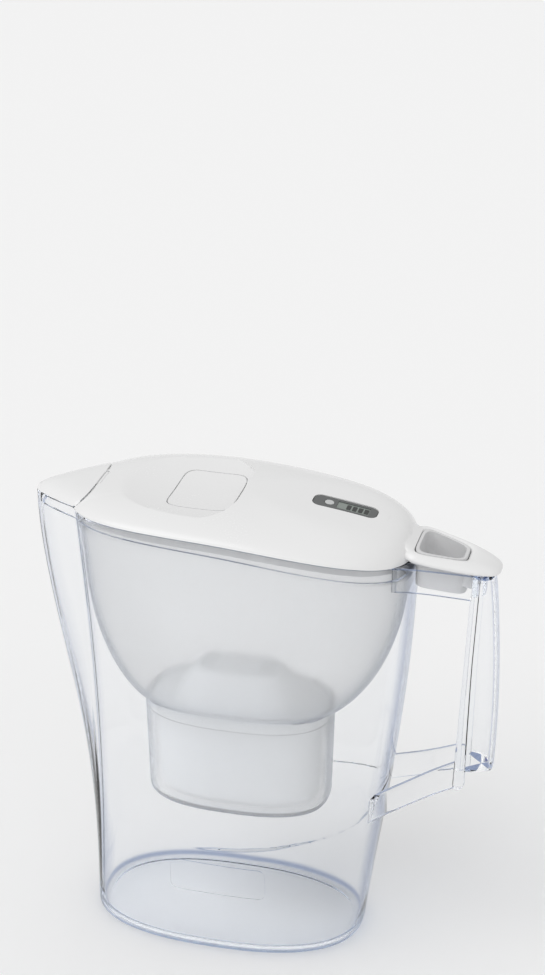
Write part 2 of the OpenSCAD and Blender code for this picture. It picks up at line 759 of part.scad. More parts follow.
pin_x = flap_x0 - 3.2;
pin_z = scoop_z(pin_x) - lid_wall - knuckle_d / 2 - 0.4;
flap_low = scoop_z(flap_x0) - flap_t;
arm_y0 = 3.4;
arm_y1 = 7.6;
lug_y0 = arm_y1 + 0.4;
lug_t = 3;
beak_pin_x = -seam_x - 0.2;
beak_pin_z = crown_z(-seam_x) - beak_knuckle_d / 2 - 0.4;
beak_half = 8;
beak_lug_t = 3;

// Rod along Y
module rod(x, z, y0, y1, d) {
    translate([x, y0, z]) rotate([-90, 0, 0]) cylinder(d = d, h = y1 - y0, $fn = 48);
}

// Lug under the scoop's floor
module flap_lug(y) {
    rod(pin_x, pin_z, y, y + lug_t, knuckle_d);
    translate([pin_x - knuckle_d / 2, y, pin_z])
        cube([knuckle_d, lug_t, scoop_z(pin_x) - lid_wall / 2 - pin_z]);
}

// Lug at the front edge of the lid
module beak_lug(y) {
    rod(beak_pin_x, beak_pin_z, y, y + beak_lug_t, beak_knuckle_d);
    translate([beak_pin_x, y, beak_pin_z - beak_knuckle_d / 2])
        cube([beak_knuckle_d + 0.6, beak_lug_t, beak_knuckle_d]);
}

// Dome with the scoop's and the indicator's walls, before the openings are cut
module lid_body() {
    difference() {
        dome_solid();
        dome_hollow();
    }
    intersection() {
        dome_solid(12);
        union() {
            scoop_room(lid_wall);
            at_gauge() capsule(gauge_len + 4, gauge_w + 4, -gauge_deep - 1.5, 8);
        }
    }
}

module lid_moulding() {
    moulded() difference() {
        union() {
            difference() {
                lid_body();
                scoop_room(0);
                flap_opening(flap_gap);
                at_gauge() capsule(gauge_len + 0.6, gauge_w + 0.6, -gauge_deep, 12);
                beak_side(0);
            }
            thumb_ring();
            ring_bridge();
        }
        tongue(seat);
        rod(beak_pin_x, beak_pin_z, -beak_half - 0.4, beak_half + 0.4, beak_knuckle_d + 1.6);
    }
}

module lid_shell() {
    color("white") difference() {
        union() {
            lid_moulding();
            for (y = [lug_y0, -lug_y0 - lug_t]) flap_lug(y);
            for (y = [beak_half + 0.4, -beak_half - 0.4 - beak_lug_t]) beak_lug(y);
        }
        rod(pin_x, pin_z, -lug_y0 - lug_t - 1, lug_y0 + lug_t + 1, pin_d + 0.02);
        rod(beak_pin_x, beak_pin_z, -beak_half - beak_lug_t - 1, beak_half + beak_lug_t + 1,
            beak_pin_d + 0.02);
    }
}

// ---- Grey insert: collar in the funnel, tongue over the rim and lining of the ring's hole ----

tab_half = hole_half - 2.5;
tongue_t = 2.6;

// Tongue over the rear of the rim, grown all round by grow, or down to nothing below it
module tongue(grow) {
    x0 = rim_x1 - 6.4 - (grow > 0 ? 6 : 0);
    x1 = tab_x0 + tab_t - 0.2 + 2 * grow;
    low = grow > 0 ? -6 : seat;
    high = seat + tongue_t + grow;
    translate([0, tab_half + grow, 0]) rotate([90, 0, 0]) linear_extrude(2 * (tab_half + grow))
        polygon([[x0, rim_z(x0) + low], [x1, rim_z(x1) + low], [x1, rim_z(x1) + high],
                 [x0, rim_z(x0) + high]]);
}

// Grey lining of the hole, from just under the ring's top edge to below the arms
module lining() {
    stations = 36;
    levels = [for (i = [0:stations - 1]) let (p = hole_point(360 * i / stations, lining_gap))
        [arm_z(p[0]) - tab_deep, ring_low(p[0]) + 0.92 * ring_tall_at(p[0])]];
    function hoop(inset, level) =
        [for (i = [0:stations - 1])
            let (p = hole_point(360 * i / stations, inset)) [p[0], p[1], levels[i][level]]];
    band_loft([
        hoop(lining_gap + tab_t, 0),
        hoop(lining_gap, 0),
        hoop(lining_gap, 1),
        hoop(lining_gap + tab_t, 1)
    ]);
}

// Foot of the lining, standing behind it between the arms
module lining_foot() {
    x0 = hole_x1 - lining_gap - 2;
    half = bead_y() - 1.9;
    hull()
        for (x = [x0, tab_x1 - tab_t / 2], side = [-1, 1])
            translate([x, side * (half - tab_t / 2), arm_z(x) - tab_deep + 4])
                cylinder(d = tab_t, h = tab_deep - 4, $fn = 16);
}

function insert_ring(dz, inset) = [for (p = band_plan(inset)) [p[0], p[1], rim_z(p[0]) + dz]];

module lid_insert() {
    collar_in = funnel_inset + funnel_wall + side_gap;
    inner = collar_in + collar_wall;
    color("gainsboro") moulded() {
        band_loft([
            insert_ring(-collar_drop, inner),
            insert_ring(-collar_drop, collar_in),
            insert_ring(collar_rise, collar_in),
            insert_ring(collar_rise, inner)
        ]);
        tongue(0);
        lining();
        lining_foot();
    }
}

// ---- Fill flap ----

module fill_flap() {
    lip_low = flap_low - 2;
    color("white") difference() {
        union() {
            moulded() intersection() {
                difference() {
                    scoop_room(flap_t);
                    scoop_room(0);
                }
                flap_opening(0);
            }
            for (y = [arm_y0, -arm_y1]) {
                rod(pin_x, pin_z, y, y + arm_y1 - arm_y0, knuckle_d);
                translate([pin_x, y + arm_y1 - arm_y0, pin_z]) rotate([90, 0, 0])
                    linear_extrude(arm_y1 - arm_y0)
                        polygon([[0, -knuckle_d / 2], [9.5, flap_low - pin_z + 0.4],
                                 [3.3, flap_low - pin_z + 0.4], [3.3, 2.4], [0, 2.4]]);
            }
            translate([flap_x1 - 3, -flap_half + 5, lip_low])
                cube([2.6, 2 * flap_half - 10, 2.3]);
            translate([flap_x1 - 3, -flap_half + 5, lip_low])
                cube([5, 2 * flap_half - 10, 1.1]);
        }
        rod(pin_x, pin_z, -arm_y1 - 1, arm_y1 + 1, pin_d + 2 * pin_play);
    }
}

module flap_pin() {
    color("silver") rod(pin_x, pin_z, -lug_y0 - lug_t, lug_y0 + lug_t, pin_d);
}

// Wire coil round Z with a straight leg at each end
module coil(mean_r, wire, turns, pitch, leg, lean) {
    steps = 16 * turns;
    sides = 8;
    function at(t, a, dz, back) =
        let (r = mean_r + wire / 2 * sin(a))
        [r * cos(t) + back * sin(t), r * sin(t) - back * cos(t), dz + wire / 2 * cos(a)];
    function hoop(t, dz, back) = [for (k = [0:sides - 1]) at(t, 360 * k / sides, dz, back)];
    first = 90 + lean;
    span = 360 * turns - 2 * lean;
    loft(concat(
        [hoop(first, 0, leg)],
        [for (i = [0:steps]) hoop(first + span * i / steps, pitch * turns * i / steps, 0)],
        [hoop(first + span, pitch * turns, -leg)]));
}

module flap_spring() {
    turns = 5;
    leg = 9;
    pitch = wire_d + 0.15;
    color("silver") translate([pin_x, pitch * turns / 2, pin_z]) rotate([90, 0, 0])
        coil(pin_d / 2 + wire_d / 2 + 0.2, wire_d, turns, pitch, leg, 3);
}

// ---- Beak over the spout ----

module spout_flap() {
    color("white") difference() {
        union() {
            moulded() difference() {
                intersection() {
                    difference() {
                        dome_solid();
                        dome_hollow();
                    }
                    beak_side(beak_gap);
                }
                for (y = [beak_half, -beak_half - beak_lug_t - 0.8])
                    rod(beak_pin_x, beak_pin_z, y, y + beak_lug_t + 0.8, beak_knuckle_d + 0.8);
            }
            rod(beak_pin_x, beak_pin_z, -beak_half, beak_half, beak_knuckle_d);
            translate([beak_pin_x, beak_half, beak_pin_z]) rotate([90, 0, 0])
                linear_extrude(2 * beak_half)
                    polygon([[0, -1], [-1.9, -0.3], [-3.6, 0.9], [-3.6, 1.2], [0, 1.6]]);
        }
        rod(beak_pin_x, beak_pin_z, -beak_half - 6, beak_half + 6, beak_pin_d + 2 * pin_play);
    }
}

module beak_pin() {
    y = beak_half + beak_lug_t;
    color("silver") rod(beak_pin_x, beak_pin_z, -y, y, beak_pin_d);
}

// ---- Indicator, each piece in the frame of its face ----

button_at = -gauge_len / 4;
window_x0 = button_at + 4.4;
window_x1 = gauge_len / 2 - 4.4;
window_half = 4.1;
face_t = 1.2;
board_top = -4.3;

module gauge_case() {
    color("dimgray") at_gauge() difference() {
        capsule(gauge_len, gauge_w, -gauge_deep + 0.2, -face_t);
        capsule(gauge_len - 2, gauge_w - 2, -gauge_deep + 1.2, 0);
    }
}

module gauge_face() {
    color("gray") at_gauge() difference() {
        capsule(gauge_len, gauge_w, -face_t, 0);
        translate([window_x0, -window_half, -face_t - 1])
            cube([window_x1 - window_x0, 2 * window_half, face_t + 2]);
        translate([button_at, 0, -face_t - 1]) cylinder(r = button_r + 0.3, h = face_t + 2, $fn = 48);
    }
}

module display() {
    color("darkseagreen") at_gauge() {
        translate([window_x0 - 0.6, -window_half - 0.6, -face_t - 1.3])
            cube([window_x1 - window_x0 + 1.2, 2 * window_half + 1.2, 1.3]);
        translate([window_x0 + 0.05, -window_half + 0.05, -face_t - 1])
            cube([window_x1 - window_x0 - 0.1, 2 * window_half - 0.1, face_t + 0.6]);
    }
}

module display_bars() {
    bars = 4;
    color("darkslategray") at_gauge()
        for (i = [0:bars - 1])
            translate([window_x1 - 12.8 + i * 3.3, -2.6, -0.4]) cube([2.4, 5.2, 0.15]);
}

module gauge_button() {
    color("whitesmoke") at_gauge() translate([button_at, 0, 0]) {
        translate([0, 0, -2]) cylinder(r = button_r, h = 2.3, $fn = 48);
        translate([0, 0, -2.1]) cylinder(r = button_r + 0.9, h = 0.6, $fn = 48);
        translate([0, 0, -3.1]) cylinder(r = 1, h = 1.4, $fn = 32);
    }
}

module snap_dome() {
    color("silver") at_gauge() translate([button_at, 0, board_top]) rotate_extrude($fn = 48)
        polygon([[0, 0.95], [1.2, 0.85], [2.6, 0], [3, 0], [3, 0.15], [2.65, 0.15], [1.25, 1], [0, 1.1]]);
}

module circuit_board() {
    color("darkgreen") at_gauge() capsule(gauge_len - 2.6, gauge_w - 2.6, board_top - 1, board_top);
}

module coin_cell() {
    color("silver") at_gauge() translate([3, 0, -gauge_deep + 1.25]) {
        cylinder(r = 5, h = 1.8, $fn = 64);
        translate([0, 0, 1.8]) cylinder(r = 4.1, h = 0.5, $fn = 64);
    }
}

jug();
funnel();
cartridge_shell();
cartridge_hood();
filter_media();
inlet_strainer();
outlet_strainer();
lid_shell();
lid_insert();
fill_flap();
flap_pin();
flap_spring();
spout_flap();
beak_pin();
gauge_case();
gauge_face();
display();
display_bars();
gauge_button();
snap_dome();
circuit_board();
coin_cell();
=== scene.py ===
import math

import bmesh
import bpy
import numpy as np
from bpy.props import FloatProperty, FloatVectorProperty, PointerProperty
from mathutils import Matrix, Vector


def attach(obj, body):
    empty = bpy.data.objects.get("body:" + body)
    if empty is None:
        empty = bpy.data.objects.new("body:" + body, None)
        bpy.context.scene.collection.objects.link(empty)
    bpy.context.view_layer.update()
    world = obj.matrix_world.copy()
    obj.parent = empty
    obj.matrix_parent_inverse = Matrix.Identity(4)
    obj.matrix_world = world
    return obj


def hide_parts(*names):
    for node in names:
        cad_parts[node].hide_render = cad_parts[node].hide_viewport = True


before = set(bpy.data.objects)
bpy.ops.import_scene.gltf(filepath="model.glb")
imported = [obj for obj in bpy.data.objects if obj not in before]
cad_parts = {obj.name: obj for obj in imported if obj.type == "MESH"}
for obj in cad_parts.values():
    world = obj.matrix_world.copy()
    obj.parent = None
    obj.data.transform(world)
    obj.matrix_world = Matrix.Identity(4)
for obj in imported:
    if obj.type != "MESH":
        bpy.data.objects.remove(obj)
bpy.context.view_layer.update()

bl_info = {
    "name": "Water filter pitcher",
    "version": (1, 0, 0),
    "blender": (4, 5, 0),
    "location": "View3D > Sidebar > Pitcher",
    "description": "Clear jug with a drop-in funnel, a filter cartridge and a domed lid",
    "category": "Add Mesh",
}

MM = 0.001


# ---------------------------------------------------------------- sizes and colours

def number(name, description, default):
    return FloatProperty(name=name, description=description, default=default)


def length(name, description, default):
    return FloatProperty(name=name, description=description, default=default, unit="LENGTH", precision=5)


def colour(name, description, default):
    return FloatVectorProperty(name=name, description=description, default=default, size=4,
                               subtype="COLOR", min=0.0, max=1.0)


class PITCHER_PG_jug(bpy.types.PropertyGroup):
    wall: length("Wall", "Wall of the jug", 0.0022)
    rim_wall: length("Rim wall", "Wall beside the funnel's band", 0.0018)
    floor: length("Floor", "Thickness of the jug's floor", 0.0035)
    base_round: length("Base rounding", "Radius of the edge round the base", 0.004)
    crease: length("Crease", "Height of the raised sweep that runs forward from the lower arms", 0.0009)
    tint: colour("Tint", "Colour that the clear wall lets through", (0.62, 0.76, 0.95, 1.0))
    tint_depth: number("Tint depth", "How strongly a long way through the wall is tinted", 13.0)


class PITCHER_PG_funnel(bpy.types.PropertyGroup):
    wall: length("Wall", "Wall of the funnel", 0.0017)
    tint: colour("Tint", "Colour that the funnel's wall lets through", (0.84, 0.89, 0.96, 1.0))
    tint_depth: number("Tint depth", "How strongly a long way through the wall is tinted", 16.0)


class PITCHER_PG_cartridge(bpy.types.PropertyGroup):
    wall: length("Wall", "Wall of the cartridge", 0.0014)
    slot: length("Slot", "Width of the slots in the hood", 0.0022)
    white: colour("White", "Colour of the cartridge", (0.90, 0.91, 0.92, 1.0))


class PITCHER_PG_lid(bpy.types.PropertyGroup):
    wall: length("Wall", "Wall of the lid", 0.002)
    scoop: length("Scoop", "Depth of the scoop's floor below the crown", 0.007)
    white: colour("White", "Colour of the dome, the beak and the flap", (0.81, 0.81, 0.81, 1.0))
    grey: colour("Insert", "Colour of the collar and the thumb hole's lining", (0.66, 0.66, 0.665, 1.0))


class PITCHER_PG_stage(bpy.types.PropertyGroup):
    floor: colour("Floor", "Colour of the floor", (0.92, 0.92, 0.92, 1.0))
    backdrop: colour("Backdrop", "Colour behind the object", (0.877, 0.877, 0.877, 1.0))
    sky: number("Sky", "Level of the even light from all round", 0.70)
    key: number("Key light", "Strength of the soft light above the spout's side", 0.95)
    lens: number("Lens", "Focal length in millimetres", 87.17)


# ---------------------------------------------------------------- the pitcher's form, in millimetres

# The rim without its spout: nominal height, half length, half width and middle, then how it falls towards
# the grip, how it is crowned along its length, and the power of its oval
RIM_H, RIM_A, RIM_B, RIM_X = 260.0, 95.9, 54.9, 9.9
RIM_FALL, RIM_CROWN, RIM_PLAN = 7.15, 8.6, 2.66
# The base: half length, half width and power
BASE_A, BASE_B, BASE_PLAN = 80.0, 47.4, 2.44
# The spout: its tip at the rim, half width, lip, and half the angle that it takes of a ring's points
TIP_X = RIM_X - RIM_A - 25.6
SPOUT_HALF, SPOUT_LIP, SPOUT_ANGLE = 27.9, 1.5, 24.0
# How far the funnel's ledge lies below the rim at its two ends
LEDGE_FRONT, LEDGE_REAR = 5.8, 9.4
# The raised sweep on the jug's side, from front to rear
SWEEP_X = (-30, -2, 19, 36, 52, 63, 76, 82, 88, 96)
SWEEP_Z = (68.5, 70.3, 72.8, 75.8, 80, 82.6, 86.4, 89, 95, 108)
# The bare plate: its two ends, its foot and top, and the radius of its corners
PLATE = (-23.0, 33.0, 40.2, 60.4, 4.0)
# The arms' top line: where it starts and its fall. Then half the grip's width, and the arms' and rolled
# edge's thickness
ARM_X, ARM_FALL = 98.6, 0.207
GRIP_HALF, ARM_WALL, BEAD = 10.2, 2.6, 4.7
# The cartridge's rim: middle, half length, half width, top and power, then its underside and narrower body
CART_X, CART_A, CART_B, CART_Z = 6.2, 52.5, 30.6, 147.0
CART_PLAN, CART_LOW, CART_STEP = 2.57, 84.0, 3.4
# The funnel's well: mouth, underside and room round the cartridge, then the outlet post that stands in it
WELL_TOP, WELL_LOW, WELL_GAP = 146.0, 81.7, 2.05
POST_FOOT, POST_TALL = WELL_LOW + 2, 24.5
# The funnel's band: its front gap, its inset from the jug's rim, and the bowl's inset below it
BAND_GAP, BAND_INSET, BOWL_INSET = 1.4, 2.15, 3.35
# The lid: top of its crown, the crown line's middle and reach, and the beak's slanting seam
LID_TOP, CROWN_X, CROWN_REACH = 276.4, -2, 109
SEAM_X, SEAM_TILT = -72, 41
# The hinge pins of the fill flap and the beak, as x and z
FILL_PIN, BEAK_PIN = (-33.2, 265.292), (-72.2, 269.917)
# The thumb ring: the hole's front end, length and half width in front, and the ring's rear end
HOLE_X, HOLE_LONG, HOLE_HALF, NOSE_X = 107.0, 27.8, 17.0, 153.0
# The indicator: its middle and tilt on the lid, and along its face the window's rear end and the button
GAUGE_X, GAUGE_TILT = 66.0, 9.0
WINDOW_X1, BUTTON_X = 13.6, -9

# Points in a ring of the large forms
RING = 240

# Materials by slot, filled by make_materials
MATERIALS = {}


def mix(a, b, t):
    return a + (b - a) * t


def power(v, p):
    return np.sign(v) * np.abs(v) ** p


def rim_z(x):
    """Height of the jug's rim at x."""
    u = (np.asarray(x, float) - RIM_X) / RIM_A
    return RIM_H - RIM_FALL * u - RIM_CROWN * (u * u - 0.5)


def level_z(z, x):
    """Level z stretched so that the top level follows the rim."""
    return z * rim_z(x) / RIM_H


def flare(z):
    return math.sin(math.radians(90 * min(1.0, max(0.0, z / RIM_H)))) ** 1.15


def rear_x(z):
    return mix(BASE_A, RIM_X + RIM_A, flare(z))


def side_y(z):
    return mix(BASE_B, RIM_B, flare(z))


def front_x(z):
    return mix(-BASE_A, RIM_X - RIM_A, z / RIM_H) + 5 * math.sin(math.pi * z / RIM_H)


def tip_at(z):
    t = min(1.0, max(0.0, z / RIM_H)) ** 1.25
    return mix(-BASE_A, TIP_X, t * t * (3 - 2 * t))


def plan_power(z):
    return mix(BASE_PLAN, RIM_PLAN, z / RIM_H)


def turns(count):
    return np.arange(count) * 2 * math.pi / count


def egg(count, x0, c, x1, b, n, z):
    """Level ring of two half superellipses that meet at their widest."""
    t = turns(count)
    a = np.where(np.cos(t) < 0, c - x0, x1 - c)
    return np.stack([c + a * power(np.cos(t), 2 / n), b * power(np.sin(t), 2 / n),
                     np.full(count, float(z))], 1)


def jug_plan(z, inset):
    """Plan of the jug at level z, moved inwards, and which points lie on the spout."""
    t = turns(RING)
    x0, x1, b = front_x(z) + inset, rear_x(z) - inset, side_y(z) - inset
    n = plan_power(z)
    x = (x0 + x1) / 2 + (x1 - x0) / 2 * power(np.cos(t), 2 / n)
    y = b * power(np.sin(t), 2 / n)
    half = SPOUT_HALF - 0.4 * inset
    reach = max(0.0, front_x(z) - tip_at(z) - 0.53 * inset)
    spout = np.abs(np.degrees(t) - 180) < SPOUT_ANGLE - 0.01
    r = 3.0
    s = 1 - np.clip((np.sqrt(y * y + r * r) - r) / (math.sqrt(half * half + r * r) - r), 0, 1)
    return x - reach * np.where(spout, s, 0), y, spout


def ledge_drop(x):
    """Depth of the funnel's ledge below the rim, growing from front to rear."""
    return mix(LEDGE_FRONT, LEDGE_REAR, np.clip((np.asarray(x, float) - RIM_X + RIM_A) / (2 * RIM_A), 0, 1))


def ledge_ring(inset, below):
    x, y, _ = jug_plan(RIM_H - LEDGE_REAR, inset)
    return np.stack([x, y, level_z(RIM_H - ledge_drop(x) - below, x)], 1)


def jug_ring(z, inset, bulge=None):
    x, y, spout = jug_plan(z, inset)
    if bulge is not None:
        k = bulge(x, y, z)
        x, y = x + k * np.sign(x) * 0.15, y + k * np.sign(y)
    lip = np.where(spout & (z >= 0.98 * RIM_H), SPOUT_LIP, 0.0)
    return np.stack([x, y, level_z(z, x) + lip], 1)


def sweep_line(x):
    """Height of the raised sweep on the jug's side, from its front end up to the lower arms."""
    return np.interp(x, SWEEP_X, SWEEP_Z)


def sweep_bulge(depth):
    """How far the wall stands out below the sweep: a narrow step that fades forwards and downwards."""
    def bulge(x, y, z):
        edge = np.clip((sweep_line(x) - level_z(z, x)) / 0.6 + 0.5, 0, 1)
        fade = np.clip((x + 8) / 40, 0, 1) * np.clip((z - 20) / 40, 0, 1) * np.clip(np.abs(y) / 9, 0, 1)
        return depth * edge * edge * (3 - 2 * edge) * fade
    return bulge


def crown_z(x):
    """Crown line of the lid: flat round its top, falling at its own rate to each end."""
    u = (np.asarray(x, float) - CROWN_X) / CROWN_REACH
    fall, p = np.where(u < 0, 8.8, 13.6), np.where(u < 0, 1.38, 1.74)
    return LID_TOP - 0.04 - fall * ((u * u + 0.13 ** 2) ** (p / 2) - 0.13 ** p)


def dome_ring(f, inset=0, drop=0):
    """Ring of the dome at a share f of the rim's plan, moved inwards and, above the edge, downwards."""
    x, y, spout = jug_plan(RIM_H, inset)
    low = rim_z(x) + np.where(spout, SPOUT_LIP, 0) + 0.3
    px, py = mix(RIM_X, x, f), y * f
    p = mix(20, 2.2, np.minimum(1, np.abs(y) / RIM_B))
    share = np.maximum(0, 1 - f ** p) ** 0.6
    return np.stack([px, py, mix(low, crown_z(px), share) - (drop if f < 1 else 0)], 1)


# ---------------------------------------------------------------- mesh helpers

def mesh_object(name, verts, faces):
    mesh = bpy.data.meshes.new(name)
    mesh.from_pydata([tuple(v) for v in np.asarray(verts) * MM], [], faces)
    mesh.update()
    obj = bpy.data.objects.new(name, mesh)
    bpy.context.collection.objects.link(obj)
    return obj


def point_out(obj):
    bm = bmesh.new()
    bm.from_mesh(obj.data)
    bmesh.ops.remove_doubles(bm, verts=bm.verts, dist=1e-7)
    bmesh.ops.recalc_face_normals(bm, faces=bm.faces)
    bm.to_mesh(obj.data)
    bm.free()


def loft(name, rings, round_trip=False):
    """Closed solid through rings of equal count, whose ends close on their middles or join each other."""
    count = len(rings[0])
    verts = np.concatenate(rings)
    faces = []
    spans = len(rings) if round_trip else len(rings) - 1
    for j in range(spans):
        a, b = j * count, ((j + 1) % len(rings)) * count
        for i in range(count):
            k = (i + 1) % count
            faces.append((a + i, a + k, b + k, b + i))
    if not round_trip:
        verts = np.concatenate([verts, [rings[0].mean(0)], [rings[-1].mean(0)]])
        low, high, last = len(verts) - 2, len(verts) - 1, (len(rings) - 1) * count
        for i in range(count):
            k = (i + 1) % count
            faces.append((k, i, low))
            faces.append((last + i, last + k, high))
    obj = mesh_object(name, verts, faces)
    point_out(obj)
    return obj


def box(name, low, high):
    x0, y0, z0 = low
    x1, y1, z1 = high
    verts = [(x, y, z) for z in (z0, z1) for y in (y0, y1) for x in (x0, x1)]
    faces = [(0, 2, 3, 1), (4, 5, 7, 6), (0, 1, 5, 4), (2, 6, 7, 3), (0, 4, 6, 2), (1, 3, 7, 5)]
    return mesh_object(name, verts, faces)


def prism(name, outline, y0, y1):
    """Outline in x and z, carried along y."""
    n = len(outline)
    verts = [(x, y, z) for y in (y0, y1) for x, z in outline]
    faces = [tuple(range(n)), tuple(range(2 * n - 1, n - 1, -1))]
    faces += [(i, i + n, (i + 1) % n + n, (i + 1) % n) for i in range(n)]
    obj = mesh_object(name, verts, faces)
    point_out(obj)
    return obj


def rod(name, x, z, y0, y1, d):
    outline = [(x + d / 2 * math.cos(a), z + d / 2 * math.sin(a)) for a in turns(48)]
    return prism(name, outline, y0, y1)


def lathe(name, profile, at):
    """Profile of radius and height, turned round the upright line through at."""
    t = turns(64)
    rings = [np.stack([at[0] + r * np.cos(t), at[1] + r * np.sin(t), np.full(len(t), at[2] + z)], 1)
             for r, z in profile]
    return loft(name, rings)


def line_block(name, line, x0, x1, low, high, half):
    """Block across the middle, with its floor and top at fixed heights over a line of z by x."""
    outline = [(x, float(line(x)) + up) for x, up in ((x0, low), (x1, low), (x1, high), (x0, high))]
    return prism(name, outline, -half, half)


def arc(r, start, stop, steps):
    """Points of an arc of radius r about the origin, from start to stop in degrees."""
    return [(r * math.cos(math.radians(a)), r * math.sin(math.radians(a)))
            for a in np.linspace(start, stop, steps)]


def rounded_outline(x0, x1, z0, z1, r, steps=6):
    """Rectangle with rounded corners, as pairs."""
    left, right, low, high = x0 + r, x1 - r, z0 + r, z1 - r
    out = []
    for cx, cz, a in ((right, high, 0), (left, high, 90), (left, low, 180), (right, low, 270)):
        out += [(cx + u, cz + v) for u, v in arc(r, a, a + 90, steps)]
    return out


def bake(obj):
    """Gives the piece the mesh that its modifiers make, and takes them off."""
    mesh = bpy.data.meshes.new_from_object(obj.evaluated_get(bpy.context.evaluated_depsgraph_get()))
    obj.modifiers.clear()
    old, obj.data = obj.data, mesh
    bpy.data.meshes.remove(old)
    return obj


def combine(obj, others, operation):
    """Applies one boolean after another and removes what was used."""
    for other in others:
        m = obj.modifiers.new("work", "BOOLEAN")
        m.operation, m.object, m.solver = operation, other, "MANIFOLD"
        bake(obj)
        bpy.data.objects.remove(other, do_unlink=True)
    return obj


def add(obj, *others):
    return combine(obj, others, "UNION")


def cut(obj, *others):
    return combine(obj, others, "DIFFERENCE")


def keep(obj, *others):
    return combine(obj, others, "INTERSECT")


def shade(obj, angle=32):
    obj.data.shade_smooth()
    obj.data.set_sharp_from_angle(angle=math.radians(angle))


def finished(obj, name, body, slot, nodes, angle=32):
    """Names, shades and colours a piece, and ties it to its body and the nodes that it stands for."""
    obj.name = obj.data.name = name
    obj.data.materials.clear()
    obj.data.materials.append(MATERIALS[slot])
    shade(obj, angle)
    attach(obj, body)
    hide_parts(*nodes)
    return obj


# ---------------------------------------------------------------- shader groups and materials

def group_of(name, inputs, outputs):
    tree = bpy.data.node_groups.new(name, "ShaderNodeTree")
    for kind, label, value in inputs:
        s = tree.interface.new_socket(label, in_out="INPUT", socket_type=kind)
        s.default_value = value
    for kind, label in outputs:
        tree.interface.new_socket(label, in_out="OUTPUT", socket_type=kind)
    return tree, tree.nodes.new("NodeGroupInput"), tree.nodes.new("NodeGroupOutput")


def feed(tree, value, socket):
    """Sets a socket to a plain value, or links another node's output to it."""
    if isinstance(value, bpy.types.NodeSocket):
        tree.links.new(value, socket)
    else:
        socket.default_value = value


def shader_node(tree, kind, **inputs):
    """Shader node with its named inputs set or linked."""
    n = tree.nodes.new("ShaderNode" + kind)
    for label, value in inputs.items():
        feed(tree, value, n.inputs[label.replace("_", " ")])
    return n


def math_node(tree, operation, a, b=0.0):
    n = tree.nodes.new("ShaderNodeMath")
    n.operation = operation
    feed(tree, a, n.inputs[0])
    feed(tree, b, n.inputs[1])
    return n.outputs[0]


def either_shader(tree, switch, off, on):
    """One shader or the other, by a switch of 0 or 1."""
    n = tree.nodes.new("ShaderNodeMixShader")
    for socket, source in zip(n.inputs, (switch, off.outputs[0], on.outputs[0])):
        tree.links.new(source, socket)
    return n.outputs[0]


def moulded_surface():
    """Slow drift in tone, a fine grain in the gloss, and the faint waviness of a moulded wall."""
    name = "Moulded surface"
    if name in bpy.data.node_groups:
        return bpy.data.node_groups[name]
    tree, into, out = group_of(
        name,
        [("NodeSocketColor", "Colour", (0.8, 0.8, 0.8, 1)), ("NodeSocketFloat", "Tone drift", 0.02),
         ("NodeSocketFloat", "Grain scale", 900.0), ("NodeSocketFloat", "Roughness", 0.3),
         ("NodeSocketFloat", "Roughness drift", 0.05), ("NodeSocketFloat", "Relief", 0.02)],
        [("NodeSocketColor", "Colour"), ("NodeSocketFloat", "Roughness"), ("NodeSocketVector", "Normal")])
    where = shader_node(tree, "TexCoord").outputs["Object"]
    grain = into.outputs["Grain scale"]
    slow = shader_node(tree, "TexNoise", Vector=where, Scale=18.0, Detail=2.0).outputs["Fac"]
    fine = shader_node(tree, "TexNoise", Vector=where, Scale=grain, Detail=3.0).outputs["Fac"]
    slow_change, fine_change = (math_node(tree, "SUBTRACT", noise, 0.5) for noise in (slow, fine))
    drift = math_node(tree, "MULTIPLY", slow_change, into.outputs["Tone drift"])
    tint = tree.nodes.new("ShaderNodeVectorMath")
    tint.operation = "SCALE"
    tree.links.new(into.outputs["Colour"], tint.inputs[0])
    tree.links.new(math_node(tree, "ADD", drift, 1.0), tint.inputs["Scale"])
    tree.links.new(tint.outputs[0], out.inputs["Colour"])
    both = math_node(tree, "ADD", slow_change, fine_change)
    change = math_node(tree, "MULTIPLY", both, into.outputs["Roughness drift"])
    tree.links.new(math_node(tree, "ADD", change, into.outputs["Roughness"]), out.inputs["Roughness"])
    bump = shader_node(tree, "Bump", Distance=0.0004, Strength=into.outputs["Relief"], Height=fine)
    tree.links.new(bump.outputs[0], out.inputs["Normal"])
    return tree


def new_material(name):
    m = bpy.data.materials.new(name)
    m.use_nodes = True
    m.node_tree.nodes.clear()
    shader = m.node_tree.nodes.new("ShaderNodeBsdfPrincipled")
    out = m.node_tree.nodes.new("ShaderNodeOutputMaterial")
    m.node_tree.links.new(shader.outputs[0], out.inputs["Surface"])
    return m, m.node_tree, shader, out


def surface_node(tree, shader, **inputs):
    """The shared moulded surface in a material, joined to its shader's roughness and normal."""
    g = tree.nodes.new("ShaderNodeGroup")
    g.node_tree = moulded_surface()
    for label, value in inputs.items():
        g.inputs[label.replace("_", " ")].default_value = value
    for label in ("Roughness", "Normal"):
        tree.links.new(g.outputs[label], shader.inputs[label])
    return g


def moulded(name, tone, rough, drift=0.02, relief=0.02, grain=900.0, **plain):
    """Opaque plastic or metal on the shared moulded surface."""
    m, tree, shader, _ = new_material(name)
    g = surface_node(tree, shader, Colour=tuple(tone), Tone_drift=drift, Grain_scale=grain, Roughness=rough,
                     Roughness_drift=0.05, Relief=relief)
    tree.links.new(g.outputs["Colour"], shader.inputs["Base Color"])
    for label, value in plain.items():
        shader.inputs[label.replace("_", " ")].default_value = value
    return m


